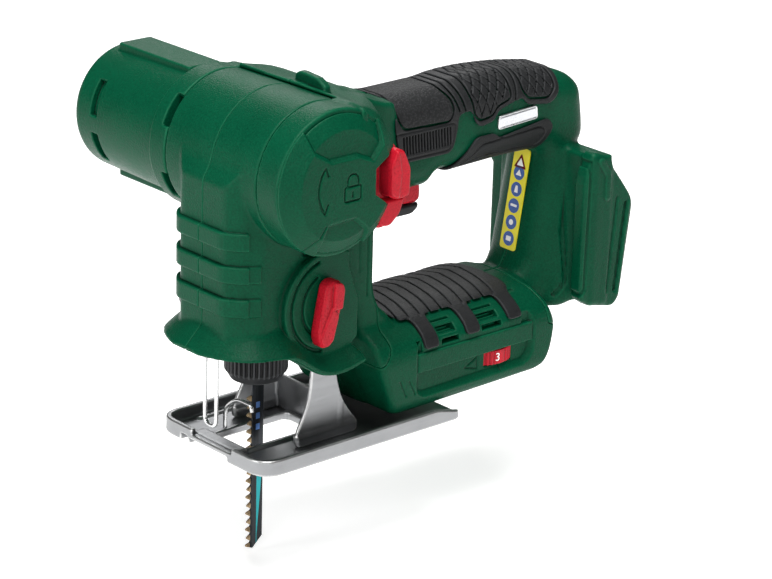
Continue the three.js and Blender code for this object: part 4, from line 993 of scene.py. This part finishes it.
def lower_grip():
    clay = Clay((-112, -37.5, 36), (-21, 37.5, 57), 0.5)
    section = softened(LOWER_SECTION, 5)

    def shell(grow):
        return lambda x, y, z: polygon(section, np.abs(y), z) - grow
    edge = [(-20, 60), (-24.5, 55.5), (-33, 48.8)]
    for x_front, x_rear, low in STRAPS:
        edge += [(x_front, 49.2), (x_front, low + 1.5), (x_front - 0.8, low), (x_rear, low), (x_rear, 49.2)]
    edge += [(-103, 50), (-105.5, 54), (-111.5, 60)]
    edge = softened(edge, 2.2)
    clay.add(shell(1.8))
    clay.cut(shell(-0.2))
    clay.keep(lambda x, y, z: polygon(edge, x, z), 0.6)
    for column in column_shapes(GAP):
        clay.cut(column)
    clay.settle()
    for i in range(11):
        x0 = -33 - 6.6 * i
        clay.engrave(lambda x, y, z: both(path([(x0, -9), (x0 + 3.8, 9)], x, y) - 0.36, 50 - z), 0.8)
        for sign in (-1, 1):
            start, end = (x0 + (3.8 if sign > 0 else 0), 9), (x0 + (8.6 if sign > 0 else 4.6), 26)
            clay.engrave(lambda x, y, z: both(path([start, end], x, y * sign) - 0.36, 49.2 - z), 0.8)
    clay.piece("lower_rubber", "handle", ["lower_grip"], RUBBER)


# ---------------------------------------------------------------- controls
def lock_lever():
    clay = Clay((-13.5, 36.5, 104.5), (8.5, 52.5, 145), 0.3)
    rim = softened([(-3.5, 144), (3, 137.5), (3, 119), (2, 106), (-3, 105.5), (-9, 111), (-12.5, 122),
        (-12.5, 134), (-8, 143)], 2.5)
    clay.add(side(rim, 37.5, 43.9, 1.2))
    tail = softened([(3.6, 119), (2.6, 108), (-3.4, 107), (-9.2, 112), (-11.5, 119)], 2)
    clay.add(side(tail, 40, 47.4, 1.2), 0.5)
    thumb = softened([(-3.2, 143.2), (0.6, 136.4), (0.2, 121.8), (-4.8, 119.6), (-11.6, 120.5),
        (-11.8, 133), (-7.8, 141.6)], 2)
    clay.add(side(thumb, 40, 50.9, 1.5), 0.5)
    ridge = softened([(-2.9, 142.8), (0.5, 136.2), (0.1, 122.6), (-4.4, 120.4), (-5.8, 131), (-4.6, 140)],
        1.5)
    clay.add(side(ridge, 44, 52.0, 1.0), 0.8)
    clay.cut(disc_y(-6, 138, 1.8, 30, 45, 0))
    clay.piece("lock_lever_red", "lock_lever", ["lock_lever"], RED)


def shoe_lever():
    outline = [(12.6, 79.5), (14.5, 82.8), (18.5, 83.6), (22, 81.5), (26.5, 58.5), (25, 53.5), (21.5, 52.8),
        (18, 55.5), (13.8, 69)]
    clay = Clay((8, 29, 51.5), (28, 39.5, 85), 0.3)
    clay.add(disc_y(CLAMP_X, CLAMP_Z, 5.8, 29.8, 31, 0.4))
    clay.add(side(softened(outline, 3), 29.8, 36.2, 1.2))
    # the upper finger face stands proud of the lower one, with a step between them
    upper = softened([(13.2, 79.3), (14.8, 82.2), (18.4, 83), (19.4, 70.4), (14.4, 70)], 1.2)
    clay.add(side(upper, 34, 38.2, 0.8), 0.5)
    lower = softened([(19.4, 72), (25.8, 58.5), (24.6, 54.2), (21.6, 53.6), (18.6, 56), (15.6, 67)], 1.2)
    clay.add(side(lower, 34, 37.3, 0.8), 0.5)
    clay.piece("shoe_lever_red", "clamp_lever", ["shoe_lever"], RED)


def trigger():
    outline = [(-42, 97.6), (-55, 97.2), (-57, 99), (-57, 105.5), (-53.5, 112), (-45.5, 112), (-42, 105.5)]
    clay = Clay((-58, -9, 96), (-41, 9, 113), 0.3)
    clay.add(side(softened(outline, 2), -8, 8, 2.2))
    clay.piece("trigger_red", "trigger", ["trigger"], RED)
    foot = [(-42, 97), (-42.4, 92.6), (-44, 91.9), (-53, 91.9), (-56.5, 94.5), (-56.5, 97)]
    clay = Clay((-58, -8.5, 91), (-41, 8.5, 98), 0.3)
    clay.add(side(softened(foot, 1.6), -7.4, 7.4, 1.6))
    clay.keep(lambda x, y, z: z - 96.9, 0.3)
    clay.piece("trigger_foot_black", "trigger", ["trigger_foot"], BLACK)


def speed_dial():
    (x0, y0, z0), (x1, y1, z1) = spot("speed_dial", 0, 0, 0), spot("speed_dial", 1, 1, 1)
    middle_x, middle_y, radius = (x0 + x1) / 2, (y0 + y1) / 2, (x1 - x0) / 2
    clay = Clay((x0 - 1, y0 - 1, z0 - 1), (x1 + 1, y1 + 1, z1 + 1), 0.28)

    def wheel(x, y, z):
        turn = np.arctan2(y - middle_y, x - middle_x)
        teeth = 0.32 * np.cos(turn * 44) * (np.abs(np.mod(turn * 8 / (2 * np.pi), 1) - 0.5) < 0.3)
        return slab(np.hypot(x - middle_x, y - middle_y) - radius + 0.35 - teeth, z, z0, z1, 0.5)
    clay.add(wheel)
    clay.cut(disc_z(middle_x, middle_y, 3, z0 - 5, z1 + 5, 0))
    made = clay.piece("speed_dial_red", "dial", ["speed_dial"], [RED, WHITE_PRINT])
    for number in range(1, 7):
        dial_number(number, middle_x, middle_y, radius, (z0 + z1) / 2)
    return made


def dial_number(number, x0, y0, radius, z0):
    """A moulded number on the dial's rim."""
    data = bpy.data.curves.new(f"dial_number_{number}", "FONT")
    data.body = str(number)
    data.size = 0.0055
    data.extrude = 0.0002
    data.align_x = data.align_y = "CENTER"
    made = bpy.data.objects.new(f"dial_number_{number}", data)
    bpy.context.scene.collection.objects.link(made)
    turn = math.radians(84 - 60 * (number - 3))
    normal = Vector((math.cos(turn), math.sin(turn), 0))
    across = Vector((-math.sin(turn), math.cos(turn), 0))
    rim = radius - 0.25
    place = Vector((x0 + rim * normal.x, y0 + rim * normal.y, z0)) * MM
    frame_of = Matrix(((across.x, 0, normal.x, place.x), (across.y, 0, normal.y, place.y),
        (0, 1, 0, place.z), (0, 0, 0, 1)))
    flat = bpy.data.meshes.new_from_object(made.evaluated_get(bpy.context.evaluated_depsgraph_get()))
    flat.transform(frame_of)
    bpy.data.objects.remove(made)
    solid = bpy.data.objects.new(f"dial_number_{number}", flat)
    bpy.context.scene.collection.objects.link(solid)
    flat.materials.clear()
    finish_piece(solid, "dial", None, WHITE_PRINT)


# ---------------------------------------------------------------- mesh pieces
def mesh_piece(name, vertices, faces, body, replaced, material, bevel=0.0, smooth=True, angle=35):
    """A mesh from points in mm, with bevelled edges."""
    mesh = bpy.data.meshes.new(name)
    mesh.from_pydata([tuple(c * MM for c in v) for v in vertices], [], faces)
    mesh.validate()
    made = bpy.data.objects.new(name, mesh)
    bpy.context.scene.collection.objects.link(made)
    if bevel:
        edge = made.modifiers.new("edges", "BEVEL")
        edge.width = bevel * MM
        edge.segments = 3
        edge.limit_method = "ANGLE"
        edge.angle_limit = math.radians(30)
        edge.harden_normals = True
        bpy.context.view_layer.objects.active = made
        with bpy.context.temp_override(object=made, active_object=made, selected_objects=[made]):
            bpy.ops.object.modifier_apply(modifier="edges")
    mesh = made.data
    if smooth:
        mesh.polygons.foreach_set("use_smooth", np.ones(len(mesh.polygons), bool))
        with bpy.context.temp_override(object=made, active_object=made, selected_objects=[made],
                selected_editable_objects=[made]):
            bpy.ops.object.shade_smooth_by_angle(angle=math.radians(angle))
    return finish_piece(made, body, replaced, material)


def rounded_path(points, reach=2.5, steps=6):
    """Points of a wire with rounded corners."""
    corners = [Vector(p) for p in points]
    out = [corners[0]]
    for before, here, after in zip(corners, corners[1:], corners[2:]):
        short = min(reach, (before - here).length / 2.2, (after - here).length / 2.2)
        start = here + (before - here).normalized() * short
        end = here + (after - here).normalized() * short
        for i in range(steps + 1):
            t = i / steps
            out.append((1 - t) ** 2 * start + 2 * t * (1 - t) * here + t * t * end)
    return out + [corners[-1]]


def wire(name, points, radius, body, replaced, material, reach=2.5, sides=16):
    """A round wire swept along a rounded path, closed at both ends."""
    line = rounded_path(points, reach)
    vertices, faces = [], []
    normal = None
    for i, here in enumerate(line):
        ahead = (line[min(i + 1, len(line) - 1)] - line[max(i - 1, 0)]).normalized()
        if normal is None:
            normal = ahead.orthogonal().normalized()
        normal = (normal - ahead * normal.dot(ahead)).normalized()
        other = ahead.cross(normal)
        for k in range(sides):
            turn = 2 * math.pi * k / sides
            vertices.append(tuple(here + radius * (math.cos(turn) * normal + math.sin(turn) * other)))
    for i in range(len(line) - 1):
        for k in range(sides):
            a, b = i * sides + k, i * sides + (k + 1) % sides
            faces.append((a, b, b + sides, a + sides))
    faces.append(tuple(range(sides))[::-1])
    faces.append(tuple((len(line) - 1) * sides + k for k in range(sides)))
    return mesh_piece(name, vertices, faces, body, replaced, material)


def wires():
    top, low, x0, reach = 64.0, 14.0, 57.5, 4.0
    wire("front_guard_wire", [(x0, -reach, top), (x0, -reach, low), (x0, reach, low), (x0, reach, top)],
        0.95, "head",
         ["wire_guard"], WIRE, 3.6)
    wire("blade_guide_wire",
        [(38.5, -13.5, 2.6), (38.5, -13.5, 13), (38.5, -5, 20), (38.5, 5, 20), (38.5, 5.5, 17)], 0.95,
        "shoe",
         ["blade_guide"], WIRE, 4)


def saw_blade():
    """The blade: a ground back, teeth set to both sides and a pointed tip."""
    back, width, half, tip, top = 27.8, 6.4, 0.65, -52.5, 44.0
    front, pitch, depth = back + width, 4.0, 2.5
    outline = [(back, top), (back, tip + 5), (back + 5.5, tip)]
    lean = [0, 0, 0]
    for i in range(19):
        z = tip + 0.6 + i * pitch
        outline += [(front + depth, z + 0.6), (front + depth - 0.4, z + 1.4), (front + 0.2, z + 2.2),
            (front - 0.1, z + 3.0)]
        side_of = 0.32 if i % 2 else -0.32
        lean += [side_of, side_of, 0, 0]
    outline.append((front, top))
    lean.append(0)
    count = len(outline)
    vertices = [(x, -half + s, z) for (x, z), s in zip(outline, lean)] + [(x, half + s, z) for (x, z),
        s in zip(outline, lean)]
    faces = [tuple(range(count)), tuple(range(2 * count - 1, count - 1, -1))]
    faces += [((i + 1) % count, i, count + i, count + (i + 1) % count) for i in range(count)]
    n = Nodes("blade_black", Metallic=0.55)
    split = n.tree.nodes.new("ShaderNodeSeparateXYZ")
    n.put(split.inputs[0], n.place)
    x, z = split.outputs["X"], split.outputs["Z"]
    lines = n.noise(1, 3, (900, 900, 40))
    base = n.mix(n.spread(lines, 0.3, 0.7, 0, 1), shade("15181b"), shade("2a2e33"))
    low = n.math("LESS_THAN", z, -0.012)
    wedge = n.spread(z, tip * MM + 0.006, -0.012, (back + 3.2) * MM, (back + 0.3) * MM)
    band = n.math("MULTIPLY", n.math("GREATER_THAN", x, wedge), n.math("LESS_THAN", x, (back + 3.6) * MM))
    base = n.mix(n.math("MULTIPLY", low, band), base, shade("1f9aa0"))
    marks = n.math("LESS_THAN", n.math("FRACT", n.math("MULTIPLY", z, 190.0)), 0.55)
    upper = n.math("MULTIPLY", n.math("GREATER_THAN", z, 0.004), n.math("LESS_THAN", z, 0.021))
    mid = n.math("MULTIPLY", n.math("GREATER_THAN", x, (back + 2.2) * MM),
        n.math("LESS_THAN", x, (back + 4.4) * MM))
    base = n.mix(n.math("MULTIPLY", n.math("MULTIPLY", marks, upper), mid), base, shade("5f87c9"))
    tips = n.math("GREATER_THAN", x, (front + 0.55) * MM)
    base = n.mix(n.math("MULTIPLY", tips, 0.9), base, shade("a08a6a"))
    steel = n.done(base, n.spread(lines, 0.3, 0.7, 0.3, 0.42), n.bump(lines, 0.05, 0.0002))
    mesh_piece("blade", vertices, faces, "plunger", ["saw_blade"], steel, bevel=0.12)


def chuck():
    """The knurled sleeve, and the steel chuck that shows under it."""
    low, top = spot("chuck_sleeve", 0, 0, 0)[2], spot("chuck_sleeve", 0, 0, 1)[2]
    radius = (spot("chuck_sleeve", 1, 0, 0)[0] - spot("chuck_sleeve", 0, 0, 0)[0]) / 2
    clay = Clay((PLUNGER_X - radius - 1, -radius - 1, low - 1),
        (PLUNGER_X + radius + 1, radius + 1, top + 1), 0.3)

    def sleeve(x, y, z):
        turn = np.arctan2(y, x - PLUNGER_X)
        ribs = 0.55 * np.clip(np.cos(turn * 38) * 1.6, -1, 1)
        fade = np.clip((z - low - 3.2) / 1.5, 0, 1)
        out = np.hypot(x - PLUNGER_X, y) - radius + 0.6 - ribs * fade
        rim = out + 0.55 * np.maximum(low + 4.2 - z, 0)
        return slab(rim, z, low, top, 0.7)
    clay.add(sleeve)
    clay.cut(disc_z(PLUNGER_X, 0, 6.9, low - 5, top + 5, 0), 0.5)
    clay.piece("chuck_ring", "chuck", ["chuck_sleeve"], BLACK)
    clay = Clay((PLUNGER_X - 8, -8, 28.4), (PLUNGER_X + 8, 8, 40), 0.25)
    clay.add(disc_z(PLUNGER_X, 0, 6.6, 29.5, 60, 1.2))
    clay.add(disc_z(PLUNGER_X, 0, 5.2, 28.9, 60, 0.4), 0.5)
    clay.cut(block(27.4, 34.6, -0.95, 0.95, 20, 60, 0.1), 0.3)
    clay.piece("chuck_nose", "plunger", None, WIRE)


# ---------------------------------------------------------------- shoe
SHOE_PLAN = [(58, -29), (56.8, -33.5), (53.5, -36.8), (49, -38), (-57, -38), (-60, -35), (-60, 35),
    (-57, 38), (49, 38), (53.5, 36.8), (56.8, 33.5), (58, 29)]


def shoe():
    clay = Clay((-61, -39, -1), (59, 39, 8.5), 0.5)
    plate = softened(SHOE_PLAN, 4)
    edge, sheet = 7.5, 2.2
    clay.add(lambda x, y, z: slab(polygon(plate, x, y), z, 0, edge, 0.9))
    tray = softened([(p[0] if p[0] > -50 else -70, p[1]) for p in SHOE_PLAN], 4)
    clay.cut(lambda x, y, z: slab(polygon(tray, x, y) + 2.6 + 0.35 * np.maximum(edge - z, 0) * 0.4, z,
        sheet, 20, 0.9), 0.7)
    # a bead pressed along both long sides, and the raised lips of the blade opening
    for sign in (-1, 1):
        clay.add(lambda x, y, z: np.hypot(np.maximum(np.abs(x + 7) - 46, 0),
            np.hypot(sign * y - 31.2, z - sheet + 0.9)) - 1.9, 1.2)
    lip = softened([(2.2, -13.8), (49.5, -13.8), (49.5, 13.8), (2.2, 13.8)], 4)
    clay.add(lambda x, y, z: slab(polygon(lip, x, y), z, 0.5, sheet + 1.5, 1.2), 1)
    opening = softened([(5, -11), (47, -11), (47, 11), (5, 11)], 3.5)
    clay.cut(lambda x, y, z: slab(polygon(opening, x, y), z, -5, 20, 0.1), 0.7)
    clay.add(block(47.5, 57.5, -17, 14, 1.6, 4.8, 1), 1)
    clay.cut(block(46, 70, -15, 12, -3, 2.7, 0.5), 0.5)
    clay.cut(side([(54, 4.9), (70, 4.9), (70, 12), (54, 12)], -13, 15, 1), 0.8)
    clay.cut(lambda x, y, z: np.maximum(7.5 - 0.24 * (-44 - x) - z, x + 44), 0.8)
    clay.cut(block(54, 70, -21, -16, -3, 3.4, 0.5), 0.5)
    clay.piece("shoe_plate", "shoe", ["shoe"], PLATE)


def shoe_bracket():
    clay = Clay((-9, -24, 2), (28, 24, 78), 0.45)
    leg = softened([(5, 77), (18.5, 77), (18.5, 36), (20, 22), (27, 9), (27, 2.5), (-8, 2.5), (-8, 8),
        (1, 20), (5, 36)], 7)
    for sign in (-1, 1):
        low, high = (21, 23) if sign > 0 else (-23, -21)
        clay.add(side(leg, low, high, 0.7))
    clay.add(block(0.5, 2.5, -22.5, 22.5, 2.5, 19, 0.7), 1.6)
    clay.add(lambda x, y, z: slab(np.maximum(polygon(leg, x, z), z - 7.5), np.abs(y), 20.4, 23.6, 1.2), 1.5)
    clay.piece("shoe_legs", "shoe", ["shoe_bracket"], PLATE)


# ---------------------------------------------------------------- labels, screws and terminals
def badge():
    outline = softened([(-94, 126.9), (-94.2, 133.6), (-118.4, 134.9), (-119.2, 128.2)], 1.8)
    clay = Clay((-120, 16.5, 126), (-93, 20.2, 136), 0.25)
    clay.add(side(outline, 17, 18.6, 0.4))
    clay.settle()
    clay.engrave(lambda x, y, z: np.abs(polygon(outline, x, z) + 0.9) - 0.16, 0.25)
    clay.piece("badge", "handle", ["badge_plate"], SILVER)


def safety_strip():
    """A plain yellow strip down the rear column with a red triangle and five blue discs."""
    foot, top = (-121.0, 59.0), (-128.9, 107.5)
    length = math.hypot(top[0] - foot[0], top[1] - foot[1])
    along = Vector(((top[0] - foot[0]) / length, 0, (top[1] - foot[1]) / length))
    out = Vector((along.z, 0, -along.x))
    middle_y, half_width = 0.5, 5.2
    base = Vector((foot[0], 0, foot[1])) + out * 0.35

    def place(u, v, rise):
        return tuple(base + along * v + out * rise + Vector((0, middle_y + u, 0)))

    def flat(name, outline, rise, thick, material, replaced=None):
        count = len(outline)
        vertices = [place(u, v, rise) for u, v in outline] + [place(u, v, rise + thick) for u, v in outline]
        faces = [tuple(range(count)), tuple(range(count, 2 * count))[::-1]]
        faces += [(i, count + i, count + (i + 1) % count, (i + 1) % count) for i in range(count)]
        mesh_piece(name, vertices, faces, "handle", replaced, material)
    corner = softened([(-half_width, 0), (half_width, 0), (half_width, length), (-half_width, length)], 1.6,
        6)
    flat("strip_yellow", corner, 0.0, 0.5, YELLOW_PRINT, ["pictogram_strip"])
    marks = (
        softened([(-1.6, -1.1), (1.6, -1.1), (1.6, 1.2), (-1.6, 1.2)], 0.4),
        arc((0, 0), 1.4, 0, 330, 12),
        softened([(-2.1, -0.4), (2.1, -0.4), (2.1, 0.8), (-2.1, 0.8)], 0.5),
        softened([(-1.2, -1.6), (1.2, -1.6), (0.7, 1.8), (-0.7, 1.8)], 0.4),
        softened([(-1.9, -1.3), (1.9, -1.3), (0, 1.7)], 0.4),
    )
    for i in range(5):
        v = 5.2 + 8.0 * i
        flat(f"strip_disc_{i + 1}", arc((0, v), 3.5, 0, 345, 24), 0.45, 0.15, BLUE_PRINT)
        flat(f"strip_mark_{i + 1}", [(a, v + b) for a, b in marks[i]], 0.55, 0.12, WHITE_PRINT)
    peak = length - 2.6
    flat("strip_triangle", softened([(-4, peak - 7), (4, peak - 7), (0, peak)], 0.8), 0.45, 0.15, RED)
    flat("strip_triangle_face", softened([(-2.2, peak - 5.9), (2.2, peak - 5.9), (0, peak - 2.1)], 0.4),
        0.55, 0.12, WHITE_PRINT)


def printed(name, colour, rough=0.35):
    n = Nodes(name)
    clouds = n.noise(180, 3)
    return n.done(n.mix(n.spread(clouds, 0.3, 0.7, 0, 1), shade(colour, 0.93), shade(colour, 1.04)),
                  n.spread(clouds, 0.3, 0.7, rough - 0.04, rough + 0.05))


WHITE_PRINT = printed("white_print", "f2f2f0")
YELLOW_PRINT = printed("yellow_print", "e9dc18")
BLUE_PRINT = printed("blue_print", "1d4f9e")


def screws():
    """Screw heads with a six-lobed recess, in the far side's wells."""
    dark = metal("screw_steel", "5c5d60", rough=0.35, stretch=(400, 400, 400), sculpted=True)
    for prefix, body, places in (("handle_screw", "handle", HANDLE_SCREWS),
            ("head_screw", "head", HEAD_SCREWS)):
        for i, (x0, z0, face) in enumerate(places):
            clay = Clay((x0 - 3.4, -face - 0.6, z0 - 3.4), (x0 + 3.4, -face + 1.6, z0 + 3.4), 0.16)
            clay.add(disc_y(x0, z0, SCREW_HEAD_R, -face, -face + 1.4, 0.35))

            def star(x, y, z):
                turn = np.arctan2(z - z0, x - x0)
                return slab(np.hypot(x - x0, z - z0) - 1.45 - 0.22 * np.cos(6 * turn), y, -face - 3,
                    -face + 0.9, 0)
            clay.cut(star, 0.15)
            clay.piece(f"{prefix}_head_{i + 1}", body, [f"{prefix}_{i + 1}"], dark)


def terminals():
    clay = Clay((-153, -16, 52), (-137, 16, 99), 0.4)
    clay.add(block(-152, -137.5, -15, 15, 53, 98, 1))
    for i in range(3):
        y0 = (i - 1) * 9
        clay.cut(block(-160, -148, y0 - 2.2, y0 + 2.2, 58, 92, 0.5), 0.4)
    clay.cut(block(-160, -150.8, -14, 14, 94.2, 96.6, 0.3), 0.3)
    clay.piece("terminal_body", "handle", ["terminal_block"], BLACK)
    for i in range(3):
        y0 = (i - 1) * 9
        clay = Clay((-158, y0 - 1.6, 58), (-147, y0 + 1.6, 92), 0.22)
        clay.add(block(-156.8, -148, y0 - 0.5, y0 + 0.5, 60, 90, 0.4))
        clay.cut(block(-158, -154.5, y0 - 2, y0 + 2, 73, 77, 0.4), 0.5)
        clay.piece(f"terminal_tab_{i + 1}", "handle", [f"contact_{i + 1}"], BRASS)


def carried_over():
    """The inner pieces keep their CAD shapes and take their materials."""
    steel = metal("turned_steel", "a8a9ab", rough=0.28, stretch=(80, 900, 80))
    dark = metal("dark_inner_steel", "4c4e52", rough=0.4)
    grey = moulded("grey_casting", "5a5d5f", "808284", rough=0.5, sculpted=False)
    board = moulded("board_green", "1d5c3a", "2d7c5a", rough=0.4, size=700, sculpted=False)
    black = moulded("black_inner", "232426", "444444", rough=0.5, sculpted=False)
    by_node = {
        "near_trunnion": steel, "rotor": dark, "pinion": steel, "crank_gear": steel, "crank_roller": BRASS,
        "crank_axle": steel, "gear_plate": grey, "front_bearing": steel, "rear_bearing": steel,
        "motor_can": dark,
        "magnet_front": dark, "magnet_rear": dark, "brush_holder": black, "motor_front_plate": grey,
        "cooling_fan": black, "plunger": steel, "plunger_frame": grey, "lower_bush": BRASS,
        "upper_bush": BRASS,
        "trigger_switch": grey, "trigger_spring": steel, "control_board": board, "lock_lever_pin": steel,
        "clamp_shaft": steel,
    }
    for name, material in by_node.items():
        data = NODES[name].data
        data.materials.clear()
        data.materials.append(material)


BRASS = metal("contact_brass", "c9a24e", rough=0.28, stretch=(300, 300, 300), depth=0.03)

camera()
studio()
for near in (True, False):
    handle_shell(near)
    lower_cover(near)
    head_shell(near)
pivot_cap()
motor_housing()
main_grip()
under_grip()
lower_grip()
lock_lever()
shoe_lever()
trigger()
speed_dial()
wires()
saw_blade()
chuck()
shoe()
shoe_bracket()
badge()
safety_strip()
screws()
terminals()
carried_over()
